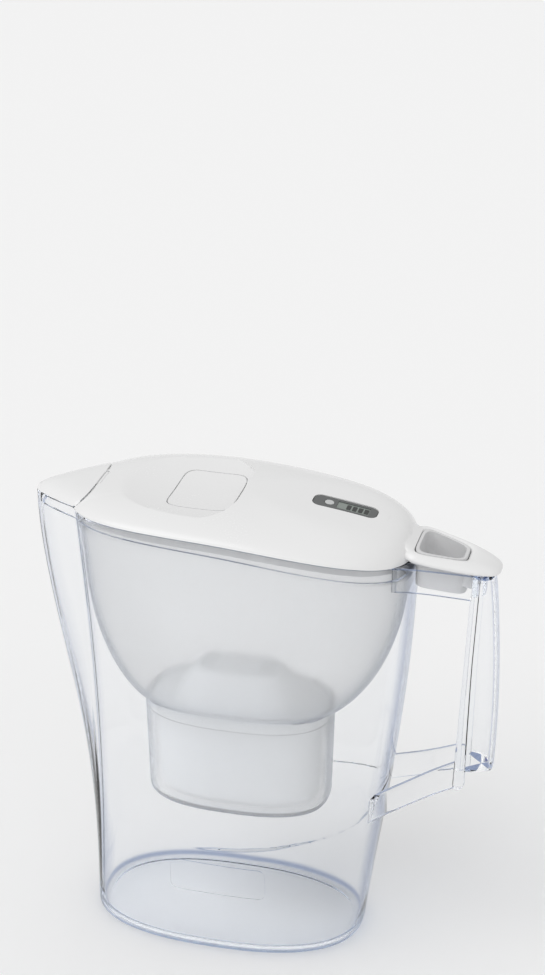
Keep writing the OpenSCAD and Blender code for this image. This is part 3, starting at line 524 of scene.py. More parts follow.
def painted_end_shade(tree, above, low):
    """Mask of painted shade on the wall's ends: level faces above one height, and the rounded edge below the
    other.
    """
    place = shader_node(tree, "TexCoord")
    height = shader_node(tree, "SeparateXYZ", Vector=place.outputs["Object"]).outputs["Z"]
    turn = shader_node(tree, "SeparateXYZ", Vector=place.outputs["Normal"]).outputs["Z"]
    level = math_node(tree, "ABSOLUTE", turn)

    def between(source, start, stop):
        n = shader_node(tree, "MapRange", Value=source, From_Min=start, From_Max=stop)
        n.interpolation_type = "SMOOTHSTEP"
        return n.outputs["Result"]

    # Painted shade falls on level faces near the top and on the rounded edge of the foot
    top = math_node(tree, "MULTIPLY", between(level, 0.55, 0.9), between(height, above, above + 0.004))
    foot = math_node(tree, "MULTIPLY", between(height, low, low * 0.4), between(level, 0.98, 0.6))
    return math_node(tree, "MAXIMUM", top, foot)


def clear_plastic(name, tint, depth, rough, ior, milk, edge, shadow, ends):
    """Clear wall with painted shade where seen edge on and on its ends, standing in for the dark bands of
    refraction; tinted by the way through it, open to lamps.

    The ends are the height above which they count, the height of the foot's edge, and how dark the painted
    shade gets there.
    """
    m, tree, shader, out = new_material(name)
    for label, value in (("Transmission Weight", 1.0 - milk), ("IOR", ior), ("Coat Weight", 0.35),
                         ("Coat Roughness", 0.06)):
        shader.inputs[label].default_value = value
    surface_node(tree, shader, Grain_scale=60.0, Roughness=rough, Roughness_drift=0.01, Relief=0.03)
    # Painted shade: the base colour darkens towards the edge colour where the wall is seen edge on
    facing = shader_node(tree, "LayerWeight", Blend=0.5)
    edge_shade_ramp = tree.nodes.new("ShaderNodeValToRGB")
    for stop, place, shade_there in zip(edge_shade_ramp.color_ramp.elements, (0.54, 0.93), ((1, 1, 1, 1), edge)):
        stop.position, stop.color = place, shade_there
    tree.links.new(facing.outputs["Facing"], edge_shade_ramp.inputs[0])
    above, low, share = ends
    # More painted shade on the wall's ends, laid over the edge shade
    dark = tree.nodes.new("ShaderNodeMix")
    dark.data_type = "RGBA"
    for label, value in (("Factor", math_node(tree, "MULTIPLY", painted_end_shade(tree, above, low), share)),
                         ("A", edge_shade_ramp.outputs[0]), ("B", edge)):
        feed(tree, value, dark.inputs[label])
    tree.links.new(dark.outputs["Result"], shader.inputs["Base Color"])
    path = shader_node(tree, "LightPath")
    through = shader_node(tree, "BsdfTransparent", Color=shadow)
    tree.links.new(either_shader(tree, path.outputs["Is Shadow Ray"], shader, through), out.inputs["Surface"])
    soak = shader_node(tree, "VolumeAbsorption", Color=tint, Density=depth)
    tree.links.new(soak.outputs[0], out.inputs["Volume"])
    return m


# ---------------------------------------------------------------- the jug

def jug_vessel(s):
    wall, rim, floor, r = (v / MM for v in (s.wall, s.rim_wall, s.floor, s.base_round))
    bulge = sweep_bulge(s.crease / MM)
    rings = [jug_ring(z, r + d) for z, d in ((0.6, 12), (0.6, 3.4), (0.5, 2.7), (0.06, 2.1))]
    rings += [jug_ring(max(0.05, r - q), r - c) for c, q in arc(r, 90, 0, 6)]
    # The rings lie close together where the raised sweep crosses them.
    levels = [*np.arange(10, 64, 6.0), *np.arange(65, 112, 0.45), *np.arange(114, 256, 6.0), 258.0]
    rings += [jug_ring(z, 0, bulge) for z in levels]
    outer, inner = 0.7, 0.5
    rings += [jug_ring(RIM_H - outer + q, outer - c) for c, q in arc(outer, 0, 90, 5)]
    rings += [jug_ring(RIM_H - inner + q, rim - inner + c) for c, q in arc(inner, 90, 0, 4)]
    rings += [ledge_ring(rim + d, below) for below, d in
              ((-2.5, 0), (-0.3, 0), (0, 0.25), (0, 0.9), (0.3, 1.2), (1.5, 1.1))]
    rings.append(ledge_ring(wall, 4.0))
    rings += [jug_ring(z, wall) for z in np.arange(238, 14, -8.0)]
    rings += [jug_ring(floor + r - q, wall + r - c) for c, q in arc(r, 0, 90, 6)]
    return loft("vessel", rings)


def wall_plate(s):
    """Bare raised plate low on the jug's near side."""
    bulge = sweep_bulge(s.crease / MM)
    plate = loft("plate", [jug_ring(z, -0.4, bulge) for z in np.arange(34, 68, 2.0)])
    cut(plate, loft("plate_back", [jug_ring(z, 0.9) for z in np.arange(32, 70, 2.0)]))
    return keep(plate, prism("plate_edge", rounded_outline(*PLATE), -70, -30))


def arm_z(x):
    """Top line of the upper arms, the grip and the ring's seat."""
    return float(rim_z(ARM_X)) - ARM_FALL * (x - ARM_X)


def bead_x(z):
    """Middle of the grip's rolled edge at level z."""
    return 132.6 + 0.05 * (z - 120) + 2.3


def jug_half(x, z):
    """Half width of the jug at x, behind its middle, and level z."""
    c, a, n = (front_x(z) + rear_x(z)) / 2, (rear_x(z) - front_x(z)) / 2, plan_power(z)
    return side_y(z) * (1 - min(1, max(0, (x - c) / a)) ** n) ** (1 / n)


def smooth_path(points, steps):
    """Points carried smoothly through stations, each with all its numbers."""
    p = np.asarray(points, float)
    pad = np.vstack([2 * p[0] - p[1], p, 2 * p[-1] - p[-2]])
    out = []
    for i in range(1, len(pad) - 2):
        for t in np.linspace(0, 1, steps, endpoint=False):
            a, b, c, d = pad[i - 1], pad[i], pad[i + 1], pad[i + 2]
            out.append(0.5 * (2 * b + (c - a) * t + (2 * a - 5 * b + 4 * c - d) * t * t
                              + (3 * b - a - 3 * c + d) * t ** 3))
    out.append(p[-1])
    return np.array(out)


def strap(name, stations, thick):
    """Upright strap with rounded edges through stations of x, y, top and height."""
    path = smooth_path(stations, 10)
    rings = []
    for i, (x, y, top, tall) in enumerate(path):
        a, b = path[max(0, i - 1)], path[min(len(path) - 1, i + 1)]
        along = np.array([b[0] - a[0], b[1] - a[1]])
        along /= np.linalg.norm(along)
        side = np.array([-along[1], along[0]])
        edge = rounded_outline(-thick / 2, thick / 2, 0, tall, 0.9, 5)
        rings.append(np.array([(x + side[0] * u, y + side[1] * u, top - tall + v) for u, v in edge]))
    return loft(name, rings)


def jug_grip(name, side):
    """The grip's rolled edge on one side: a tapering round bar."""
    rings = []
    t = turns(24)
    for z in [*np.linspace(108.0, 120, 5), *np.linspace(126, 240.6, 24)]:
        d = BEAD + 2.2 * min(1, max(0, (190 - z) / 80)) ** 1.3
        if z < 110:
            d *= math.sqrt(max(0.2, 1 - ((110 - z) / 3.2) ** 2))
        x = bead_x(z) + (d - BEAD) / 2 * 0.7
        y = GRIP_HALF + d / 2 * np.sin(t) * 0.96 - (d - BEAD) * 0.22
        tilt = ARM_FALL if z > 235 else 0.0
        rings.append(np.stack([x + d / 2 * np.cos(t), side * y, z - tilt * d / 2 * np.cos(t)], 1))
    return loft(name, rings)


def grip_channel():
    """The grip's bowed back and sides, closed to an oval tube at its top."""
    t = np.linspace(-math.pi / 2, math.pi / 2, 40)

    def ring(z, tilt, scallop=0.0):
        c = bead_x(z)
        a = 154.2 - 4.2 * ((z - 160) / 80) ** 2 - c

        def bow(reach, half):
            return np.stack([c + reach * power(np.cos(t), 0.8), half * power(np.sin(t), 0.8)], 1)
        xy = np.vstack([bow(a, 12.5), bow(a - 2.4, 10.1)[::-1]])
        wave = scallop * np.cos(xy[:, 1] * 0.62)
        return np.column_stack([xy, z - tilt * (xy[:, 0] - c) + wave])
    top = arm_z(bead_x(240)) - 0.2
    rings = [ring(z, 0) for z in np.linspace(124, 232, 22)]
    return loft("channel", [ring(120, 0, 0.8), *rings, ring(top, ARM_FALL)])


def build_jug():
    s = bpy.context.scene.pitcher_jug
    obj = jug_vessel(s)
    x2 = bead_x(240)
    y0, y1 = jug_half(ARM_X, RIM_H), jug_half(87, 94)
    upper = ((98.2, y0, 14), (108, 23.6, 14), (118, 19.2, 14.1), (130, 14.3, 14.5), (x2, GRIP_HALF, 14.8))
    lower = ((87, 0, 102, 16), (96, 0.27, 106.8, 16), (108, 0.57, 112.6, 16), (121, 0.84, 119.2, 16.4),
             (134.8, 1, 126, 17))
    parts = []
    for side in (1, -1):
        parts.append(strap("upper_arm", [(x, side * y, arm_z(x), tall) for x, y, tall in upper], ARM_WALL))
        parts.append(strap("lower_arm", [(x, side * mix(y1, GRIP_HALF, share), top, tall)
                                         for x, share, top, tall in lower], ARM_WALL))
        parts.append(jug_grip("bead", side))
    parts.append(grip_channel())
    lip = [(x2 - 1.2 * math.cos(a), 10.6 * math.sin(a), arm_z(x2) - 0.2, 13)
           for a in np.linspace(-1.57, 1.57, 7)]
    parts.append(strap("lip", lip, 2.2))
    parts.append(wall_plate(s))
    top = arm_z(x2) - 2
    parts.append(box("web", (x2 + 3.3, -11.5, top - 9), (x2 + 4.7, 11.5, top)))
    add(obj, *parts)
    finished(obj, "clear_jug", "jug", "clear_jug", ["jug"], angle=40)


# ---------------------------------------------------------------- the funnel

def well_ring(z, inset):
    """Ring of the funnel's well at level z, narrower downwards."""
    k = (WELL_TOP - z) / (WELL_TOP - WELL_LOW)
    d = inset + 1.8 * k
    a, b = CART_A + WELL_GAP - d, CART_B + WELL_GAP - d
    return egg(RING, CART_X - a, CART_X, CART_X + a, b, CART_PLAN, z)


def band_ring(drop, inset):
    """Ring of the funnel's band at a drop below the jug's rim."""
    x0, x1 = RIM_X - RIM_A + BAND_GAP + inset, RIM_X + RIM_A - inset
    p = egg(RING, x0, RIM_X, x1, RIM_B - inset, RIM_PLAN, 0)
    p[:, 2] = level_z(RIM_H - drop, p[:, 0])
    return p


def foot_ring(below, inset):
    """Ring of the band at a distance below its foot, which follows the jug's ledge."""
    p = band_ring(0, inset)
    p[:, 2] = level_z(RIM_H - ledge_drop(p[:, 0]) + 0.3 - below, p[:, 0])
    return p


def bowl_ring(t, wall):
    """Ring of the bowl at a share t of the way from the well's mouth to the rim."""
    k = (1 - (1 - t) ** 2.6) ** 0.72
    a, b = CART_A + WELL_GAP - wall, CART_B + WELL_GAP - wall
    x0 = mix(CART_X - a, RIM_X - RIM_A + BAND_GAP + BOWL_INSET - 0.4 + wall, k)
    x1 = mix(CART_X + a, RIM_X + RIM_A - BOWL_INSET - wall, k)
    half, n = mix(b, RIM_B - BOWL_INSET - wall, k), mix(CART_PLAN, RIM_PLAN, k)
    z = mix(WELL_TOP, RIM_H, t)
    p = egg(RING, x0, mix(CART_X, RIM_X, k), x1, half, n, 0)
    p[:, 2] = mix(z, level_z(z, p[:, 0]), t)
    return p


def funnel_bowl(wall):
    """Well, bowl and band as one wall: up its outside, over the band, and down its inside."""
    top_t = 1 - 12.1 / (RIM_H - WELL_TOP)
    steps = np.linspace(0.02, 1, 26) ** 1.15
    rings = [well_ring(WELL_LOW + up, d) for up, d in ((0, 6), (0.3, 3.4), (1.2, 1.6), (3, 0.4), (5, 0))]
    rings += [well_ring(z, 0) for z in (*np.linspace(92, 140, 7), WELL_TOP - 1.5)]
    rings += [bowl_ring(t * top_t, 0) for t in steps]
    rings += [foot_ring(below, d) for below, d in
              ((3, BOWL_INSET), (0.3, BOWL_INSET), (0.05, 3.2), (0, 2.4), (-0.3, BAND_INSET))]
    rings += [band_ring(drop, d) for drop, d in
              ((1.0, BAND_INSET), (0.45, 2.35), (0.3, 2.8), (0.3, 3.2), (0.5, 3.65))]
    inside = BAND_INSET + wall
    rings += [band_ring(1.0, inside), foot_ring(-0.2, inside), foot_ring(3, BOWL_INSET + wall)]
    rings += [bowl_ring(t * top_t, wall) for t in steps[::-1]]
    rings += [well_ring(z, wall + d) for z, d in
              ((WELL_TOP - 1, 0), (137.9, 0), (137.7, 0.9), (137, 1), (120, 0.8), (104, 0.8), (92, 0.8),
               (WELL_LOW + 5, 1), (WELL_LOW + 3, 2), (WELL_LOW + 2, 5))]
    return loft("funnel_bowl", rings)


def build_funnel():
    s = bpy.context.scene.pitcher_funnel
    obj = funnel_bowl(s.wall / MM)
    r, rise, foot = 10.2, 18.4, (CART_X, 0, POST_FOOT)

    def cap(radius, level, steps):
        return [(radius * math.cos(a), level + radius * 0.6 * math.sin(a))
                for a in np.linspace(0, 1.55, steps)]
    bead = [(r, 11.2), (r + 0.35, 11.5), (r + 0.35, 12.1), (r, 12.4)]
    add(obj, lathe("post", [(r, -0.1), *bead, *cap(r, rise, 12)], foot))
    bore = r - 1.7
    cut(obj, lathe("bore", [(bore, -4), *cap(bore, rise - 1.1, 10)], foot))
    for k in range(4):
        a = math.radians(45 + 90 * k)
        window = box("window", (0, -1.5, POST_FOOT + rise - 7), (14, 1.5, POST_FOOT + rise - 1))
        for v in window.data.vertices:
            x, y = v.co.x, v.co.y
            v.co.x = x * math.cos(a) - y * math.sin(a) + CART_X * MM
            v.co.y = x * math.sin(a) + y * math.cos(a)
        cut(obj, window)
    finished(obj, "clear_funnel", "funnel", "clear_funnel", ["funnel"], angle=40)


# ---------------------------------------------------------------- the cartridge

def cart_ring(z, inset):
    """Ring of the cartridge at level z, narrower downwards below its rim."""
    k = min(1, max(0, (CART_Z - 9 - z) / (CART_Z - CART_LOW)))
    d = inset + 3 * k
    return egg(RING, CART_X - CART_A + d, CART_X, CART_X + CART_A - d, CART_B - d, CART_PLAN, z)


def hood_ring(share, inset):
    """Ring of the hood at a share of its height over the cartridge's rim."""
    k = max(0.0, share)
    x0 = mix(CART_X - CART_A + 17, CART_X - 24.5, k ** 1.2)
    x1 = mix(CART_X + CART_A - 9.5, CART_X + 25, k ** 0.62)
    b = mix(CART_B - 3.4, 12.5, k ** 1.1)
    return egg(RING, x0 + inset, (x0 + x1) / 2, x1 - inset, b - inset, 3.4, CART_Z + share * 18)


def cartridge_shell(wall):
    """Cartridge body with its rim, and the recess under it."""
    low, step = CART_LOW, CART_STEP
    rings = [cart_ring(low + up, step + d)
             for up, d in ((0, 7), (0.4, 4.4), (1.6, 2.4), (3.4, 0.9), (6.5, 0))]
    rings += [cart_ring(z, step) for z in (95, 105, 115, 125, 133, 136.6)]
    rings += [cart_ring(z, d) for z, d in
              ((137.2, step - 0.4), (137.8, 1.2), (138.2, 0.45), (139, 0.25), (143, 0.1), (146.2, 0.05),
               (146.8, 0.3), (147, 0.7), (147, 1.1), (146.6, 1.5), (141, 1.7))]
    rings += [cart_ring(z, step + wall) for z in (139.5, 130, 110, low + 6.5)]
    shell = loft("cartridge_shell_form", [*rings, cart_ring(low + 1.6, step + 7)])
    # The recess goes over the funnel's post.
    r, tall, foot = 11.6, POST_FOOT + POST_TALL + 3.2 - low, (CART_X, 0, low)
    add(shell, lathe("recess_wall", [(r + wall, 0), (r + wall, tall)], foot))
    return cut(shell, lathe("recess", [(r, -1), (r, tall - wall)], foot),
               lathe("recess_top", [(r - 4, 1), (r - 4, tall + 1)], foot))


def cartridge_hood(slot):
    """Hood on a skirt that fills the cartridge's rim, with three slots at each end."""
    def skirt_ring(z, inset):
        a, b = CART_A - 2 - inset, CART_B - 2 - inset
        return egg(RING, CART_X - a, CART_X, CART_X + a, b, CART_PLAN, z)
    rings = [skirt_ring(CART_Z - 3, 0), skirt_ring(CART_Z - 1.7, 0), skirt_ring(CART_Z - 1.4, 0.4),
             hood_ring(0, -0.6), hood_ring(0.05, 0)]
    rings += [hood_ring(v, 0) for v in np.linspace(0.1, 0.9, 16)]
    rings += [hood_ring(v, d) for v, d in ((0.95, 0.25), (0.985, 0.8), (1.0, 1.8))]
    hood = loft("cartridge_hood_form", rings)
    inner = [hood_ring(v, 1.5) for v in (-0.4, 0, 0.25, 0.5, 0.75)] + [hood_ring(0.9, 1.8)]
    cut(hood, loft("hood_room", inner))
    for x in (CART_X - 17, CART_X + 17):
        for y in (-5.5, 0, 5.5):
            cut(hood, box("slot", (x - 4.5, y - slot / 2, CART_Z + 14), (x + 4.5, y + slot / 2, CART_Z + 20)))
    return hood


def build_cartridge():
    s = bpy.context.scene.pitcher_cartridge
    finished(cartridge_shell(s.wall / MM), "cartridge_shell_white", "cartridge", "cartridge_white",
             ["cartridge_shell"])
    finished(cartridge_hood(s.slot / MM), "cartridge_hood_white", "cartridge", "cartridge_white",
             ["cartridge_hood"])


# ---------------------------------------------------------------- the lid and its flaps

def dome_solid(name, skirt=0):
    """The dome filled, down to its seat on the rim or with a skirt that hangs below it."""
    first = dome_ring(1) - [0, 0, skirt] if skirt else dome_ring(1, 2.4) + [0, 0, 0.15]
    return loft(name, [first] + [dome_ring(f) for f in 1 - np.linspace(0, 1, 34) ** 2.2 * 0.97])


def dome_hollow(name, wall):
    """Room under the dome's wall, open downwards."""
    edge = dome_ring(1, wall)
    fs = (1 - np.linspace(0, 1, 26) ** 2.0 * 0.95)[1:]
    return loft(name, [edge - [0, 0, 8], edge] + [dome_ring(f, wall, wall) for f in fs])


def scoop_room(name, low, grow):
    """Room of the scoop: the bottom of a flat ball inside an upright wall."""
    t, u = turns(160), np.linspace(0.02, math.pi - 0.02, 80)
    rx, ry, rz = 120 + grow, 95 + grow, 40 + grow
    rings = [np.stack([-8 + rx * math.sin(v) * np.cos(t), ry * math.sin(v) * np.sin(t),
                       np.full(160, low + 40 - rz * math.cos(v))], 1) for v in u]
    ball = loft(name, rings)
    wall = [egg(160, -90.5 - grow, -40, 10.5 + grow, 43 + grow, 3.5, z) for z in (low - 14, LID_TOP + 6)]
    return keep(ball, loft("scoop_wall", wall))


def flap_room(name, low, gap):
    """Upright room of the opening in the scoop's floor."""
    return loft(name, [egg(120, -30 - gap, -12, 6 + gap, 24 + gap, 6, z) for z in (low - 10, LID_TOP)])


def beak_room(name, gap):
    """Everything in front of the beak's slanting seam."""
    a = math.radians(SEAM_TILT)
    n, d = np.array([-math.sin(a), math.cos(a)]), np.array([math.cos(a), math.sin(a)])
    corner = np.array([SEAM_X, float(crown_z(SEAM_X))]) + n * gap
    outline = [corner - d * 100, corner + d * 100, corner + d * 100 + n * 100, corner - d * 100 + n * 100]
    return prism(name, [tuple(p) for p in outline], -100, 100)


def hole_outline(count, inset):
    t = turns(count)
    x = HOLE_X + HOLE_LONG / 2 + (HOLE_LONG / 2 - inset) * power(np.cos(t), 0.42)
    half = HOLE_HALF * mix(1, 0.56, np.clip((x - HOLE_X) / HOLE_LONG, 0, 1)) - inset
    return x, half * power(np.sin(t), 0.42)


def ring_low(x):
    """Underside of the thumb ring, which lies on the arms' top line."""
    return arm_z(x) + 0.4


def ring_tall(x):
    return mix(6.8, 8.0, np.clip((np.asarray(x, float) - HOLE_X) / (NOSE_X - HOLE_X), 0, 1))


def thumb_ring():
    """Rounded bar round the thumb's hole, highest at the hole and falling outwards."""
    stations, corners = 160, 28
    t = turns(stations)
    hx, hy = hole_outline(stations, 0)
    x0 = 96.8
    ox = (x0 + NOSE_X) / 2 + (NOSE_X - x0) / 2 * power(np.cos(t), 0.6)
    narrow = mix(1, 0.6, np.clip((ox - HOLE_X) / (HOLE_LONG + 12), 0, 1))
    oy = (HOLE_HALF + 5) * narrow * power(np.sin(t), 0.6)
    rings = []
    for a in turns(corners) + math.pi / corners:
        s = 0.5 + 0.5 * float(power(math.cos(a), 0.72))
        v = 0.5 + 0.5 * float(power(math.sin(a), 0.72))
        x = mix(hx, ox, s)
        share = mix(0.2 * s * s, 1 - 0.4 * s * s, v)
        rings.append(np.stack([x, mix(hy, oy, s), ring_low(x) + ring_tall(x) * share], 1))
    return loft("thumb_ring", rings, round_trip=True)


def ring_bridge():
    """Slope from the crown's rear end down to the corners of the hole."""
    rings = []
    for k in np.linspace(0, 1, 16):
        x = mix(90.0, HOLE_X - 0.1, k)
        top = mix(float(crown_z(90.0)) - 0.3, float(ring_low(HOLE_X)) + 6.7, k)
        half, deep = mix(3.0, 15.2, k), mix(3.0, 6.0, k)
        a = np.linspace(0, math.pi, 25)
        y = (half + 3.5) * power(np.cos(a), 0.5)
        z = top - deep * (1 - power(np.sin(a), 0.5))
        rings.append(np.stack([np.full(25, x), y, z], 1))
    return loft("ring_bridge", rings)


# Height of the indicator's face
GAUGE_Z = float(crown_z(GAUGE_X)) - 0.36


def to_gauge(obj):
    """Moves a piece drawn in the face's own frame to its place on the lid."""
    a = math.radians(GAUGE_TILT)
    for v in obj.data.vertices:
        x, z = v.co.x, v.co.z
        v.co.x = x * math.cos(a) + z * math.sin(a) + GAUGE_X * MM
        v.co.z = -x * math.sin(a) + z * math.cos(a) + GAUGE_Z * MM
    return obj


def capsule(name, long, wide, z0, z1, crown=0.0):
    """Flat capsule in the face's frame."""
    ring = np.array(rounded_outline(-long / 2, long / 2, -wide / 2, wide / 2, wide * 0.35, 12))

    def level(outline, z):
        return np.column_stack([outline, np.full(len(outline), float(z))])
    rings = [level(ring, z0), level(ring, z1 - crown)]
    if crown:
        rings.append(level(ring * [1 - 2 * crown / long, 1 - 2 * crown / wide], z1))
    return loft(name, rings)


def lid_dome(wall, low):
    """Dome with the scoop, the indicator's pocket, the thumb ring, and the lugs for both hinge pins."""
    body = dome_solid("lid")
    cut(body, dome_hollow("hollow", wall))
    scoop_wall = keep(dome_solid("wall", 12), scoop_room("room", low, wall))
    pocket_wall = keep(dome_solid("wall", 12), to_gauge(capsule("pocket", 40, 17, -10.5, 8)))
    add(body, scoop_wall, pocket_wall)
    cut(body, scoop_room("room", low, 0), flap_room("opening", low, 0.6),
        to_gauge(capsule("pocket", 36.6, 13.6, -9, 12)), beak_room("front", 0))
    add(body, thumb_ring(), ring_bridge())
    cut(body, line_block("notch", rim_z, 93.4, 109.35, -6, 3.2, 14.8),
        rod("groove", *BEAK_PIN, -8.4, 8.4, 5.0))
    (px, pz), (bx, bz) = FILL_PIN, BEAK_PIN
    for y in (8.0, -11.0):
        add(body, rod("lug", px, pz, y, y + 3, 5.2),
            box("lug_foot", (px - 2.6, y, pz), (px + 2.6, y + 3, 269.3)))
    for y in (8.4, -11.4):
        add(body, rod("ear", bx, bz, y, y + 3, 3.4),
            box("ear_foot", (bx, y, bz - 1.7), (bx + 4, y + 3, bz + 1.7)))
    return cut(body, rod("bore", px, pz, -12, 12, 2.42), rod("bore", bx, bz, -12, 12, 1.52))


def scoop_flap(low):
    """Flap in the scoop's floor, with two arms down to its pin and a riser and lip at its rear."""
    flap = keep(scoop_room("flap", low, 1.8), flap_room("opening", low, 0))
    cut(flap, scoop_room("room", low, 0))
    (px, pz), under = FILL_PIN, 268.2
    arm = [(px, pz - 2.6), (px + 9.5, under + 0.4), (px + 3.3, under + 0.4), (px + 3.3, pz + 2.4),
           (px, pz + 2.4)]
    for y in (3.4, -7.6):
        add(flap, rod("barrel", px, pz, y, y + 4.2, 5.2), prism("arm", arm, y, y + 4.2))
    add(flap, box("riser", (3, -19, under - 2), (5.6, 19, under + 0.3)),
        box("lip", (3, -19, under - 2), (8, 19, under - 0.9)))
    return cut(flap, rod("bore", px, pz, -9, 9, 2.56))


def pour_beak(wall):
    """The dome's front, in front of the seam, with its barrel and the rib that joins them."""
    beak = dome_solid("beak")
    cut(beak, dome_hollow("hollow", wall))
    keep(beak, beak_room("front", 0.85))
    cut(beak, rod("room", *BEAK_PIN, 8, 11.8, 4.2), rod("room", *BEAK_PIN, -11.8, -8, 4.2))
    bx, bz = BEAK_PIN
    rib = [(bx + x, bz + z) for x, z in ((0, -1), (-1.9, -0.3), (-3.6, 0.9), (-3.6, 1.2), (0, 1.6))]
    add(beak, rod("barrel", bx, bz, -8, 8, 3.4), prism("rib", rib, -8, 8))
    return cut(beak, rod("bore", bx, bz, -14, 14, 1.66))


def build_lid():
    s = bpy.context.scene.pitcher_lid
    wall, low = s.wall / MM, LID_TOP - s.scoop / MM
    finished(lid_dome(wall, low), "lid_dome_white", "lid", "lid_white", ["lid_shell"])
    finished(scoop_flap(low), "fill_flap_white", "fill_flap", "lid_white", ["fill_flap"])
    finished(pour_beak(wall), "pour_beak_white", "spout_flap", "lid_white", ["spout_flap"])


# ---------------------------------------------------------------- the insert and the indicator

def build_insert():
    inner, outer = 5.8, 4.2

    def ring(dz, inset):
        p = band_ring(0, inset)
        p[:, 2] = rim_z(p[:, 0]) + dz
        return p
    edges = ((-5.6, inner), (-6, inner - 0.4), (-6, outer + 0.4), (-5.6, outer),
             (0.4, outer), (0.8, outer + 0.4), (0.8, inner - 0.4), (0.4, inner))
    body = loft("collar", [ring(dz, inset) for dz, inset in edges], round_trip=True)

    def hoop(inset, share):
        x, y = hole_outline(200, inset)
        over = hole_outline(200, 0.15)[0]
        low, high = ring_low(over) - 13.4, ring_low(over) + 0.92 * ring_tall(over)
        return np.stack([x, y, mix(low, high, share)], 1)
    hoops = ((1.95, 0), (1.75, -0.01), (0.35, -0.01), (0.15, 0),
             (0.15, 0.99), (0.4, 1), (1.7, 1), (1.95, 0.99))
    lining = loft("lining", [hoop(inset, share) for inset, share in hoops], round_trip=True)
    add(body, line_block("tongue", rim_z, 99.4, 108.75, 0.3, 2.9, 14.5), lining,
        line_block("foot", arm_z, 132.7, 137.9, -9, 0, 8.3))
    finished(body, "lid_insert_grey", "lid", "insert_grey", ["lid_insert"])


def build_gauge():
    face = to_gauge(capsule("face", 36, 13, -1.2, 0.0, crown=0.35))
    cut(face, to_gauge(box("window", (-4.6, -4.1, -3), (WINDOW_X1, 4.1, 2))),
        to_gauge(lathe("hole", [(2.9, -3), (2.9, 2)], (BUTTON_X, 0, 0))))
    finished(face, "gauge_face_dark", "lid", "gauge_dark", ["gauge_face"])
    profile = [(1, -3.1), (1, -2.1), (3.5, -2.1), (3.5, -1.5), (2.6, -1.5), (2.6, 0.05),
               (2.45, 0.22), (2.1, 0.3), (1.2, 0.26), (0.4, 0.24)]
    button = to_gauge(lathe("button", profile, (BUTTON_X, 0, 0)))
    finished(button, "gauge_button_grey", "button", "button_grey", ["gauge_button"])
    build_display_bars()


def row_of_bars():
    """Node tree for a row of equal bars with rounded corners, for the display."""
    tree = bpy.data.node_groups.new("Row of bars", "GeometryNodeTree")
    for label, kind in (("Geometry", "Geometry"), ("Count", "Int"), ("Start", "Vector"), ("Step", "Vector"),
                        ("Length", "Float"), ("Width", "Float"), ("Height", "Float"), ("Corner", "Float"),
                        ("Material", "Material")):
        tree.interface.new_socket(name=label, in_out="INPUT", socket_type="NodeSocket" + kind)
    tree.interface.new_socket(name="Geometry", in_out="OUTPUT", socket_type="NodeSocketGeometry")
    given, result = tree.nodes.new("NodeGroupInput").outputs, tree.nodes.new("NodeGroupOutput")

    def node(kind, **links):
        n = tree.nodes.new("GeometryNode" + kind)
        for label, source in links.items():
            tree.links.new(source, n.inputs[label.replace("_", " ")])
        return n

    outline = node("CurvePrimitiveQuadrilateral", Width=given["Length"], Height=given["Width"])
    soft = node("FilletCurve", Curve=outline.outputs[0], Radius=given["Corner"])
    soft.mode = "POLY"
    soft.inputs["Count"].default_value = 4
    sheet = node("FillCurve", Curve=soft.outputs[0])
    sheet.mode = "NGONS"
    raised = node("ExtrudeMesh", Mesh=sheet.outputs[0], Offset_Scale=given["Height"])
    under = node("FlipFaces", Mesh=sheet.outputs[0])
    both = node("JoinGeometry")
    tree.links.new(raised.outputs[0], both.inputs[0])
    tree.links.new(under.outputs[0], both.inputs[0])
    bar = node("MergeByDistance", Geometry=both.outputs[0])
    bar.inputs["Distance"].default_value = 1e-6
    line = node("MeshLine", Count=given["Count"], Start_Location=given["Start"], Offset=given["Step"])
    row = node("InstanceOnPoints", Points=line.outputs[0], Instance=bar.outputs[0])
    real = node("RealizeInstances", Geometry=row.outputs[0])
    dressed = node("SetMaterial", Geometry=real.outputs[0], Material=given["Material"])
    tree.links.new(dressed.outputs[0], result.inputs[0])
    return tree


def from_tree(name, tree, **values):
    """Plain mesh from a node tree, whose inputs are set by their sockets' identifiers."""
    obj = mesh_object(name, [(0, 0, 0)], [])
    mod = obj.modifiers.new("tree", "NODES")
    mod.node_group = tree
    sockets = {i.name: i.identifier for i in tree.interface.items_tree if i.in_out == "INPUT"}
    for label, value in values.items():
        mod[sockets[label]] = value
    return bake(obj)


def build_display_bars():
    bar, step, first = 2.4, 3.3, WINDOW_X1 - 12.8
    row = from_tree("display_bar_row", row_of_bars(), Count=4, Start=((first + bar / 2) * MM, 0.0, -0.4 * MM),
                    Step=(step * MM, 0.0, 0.0), Length=bar * MM, Width=5.2 * MM, Height=0.15 * MM,
                    Corner=0.3 * MM, Material=MATERIALS["display_ink"])
    finished(to_gauge(row), "display_bar_row", "lid", "display_ink", ["display_bars"])


# ---------------------------------------------------------------- materials and stage

def dress_frame():
    """Gives the CAD nodes that no piece replaces their materials."""
    wear = {
        "filter_media": "granules", "inlet_strainer": "strainer_mesh", "outlet_strainer": "strainer_mesh",
        "flap_pin": "steel", "flap_spring": "steel", "beak_pin": "steel", "gauge_case": "gauge_dark",
        "display": "display_panel", "snap_dome": "steel",
        "circuit_board": "board_green", "coin_cell": "steel",
    }
    for node, material in wear.items():
        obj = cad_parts[node]
        obj.data.materials.clear()
        obj.data.materials.append(MATERIALS[material])


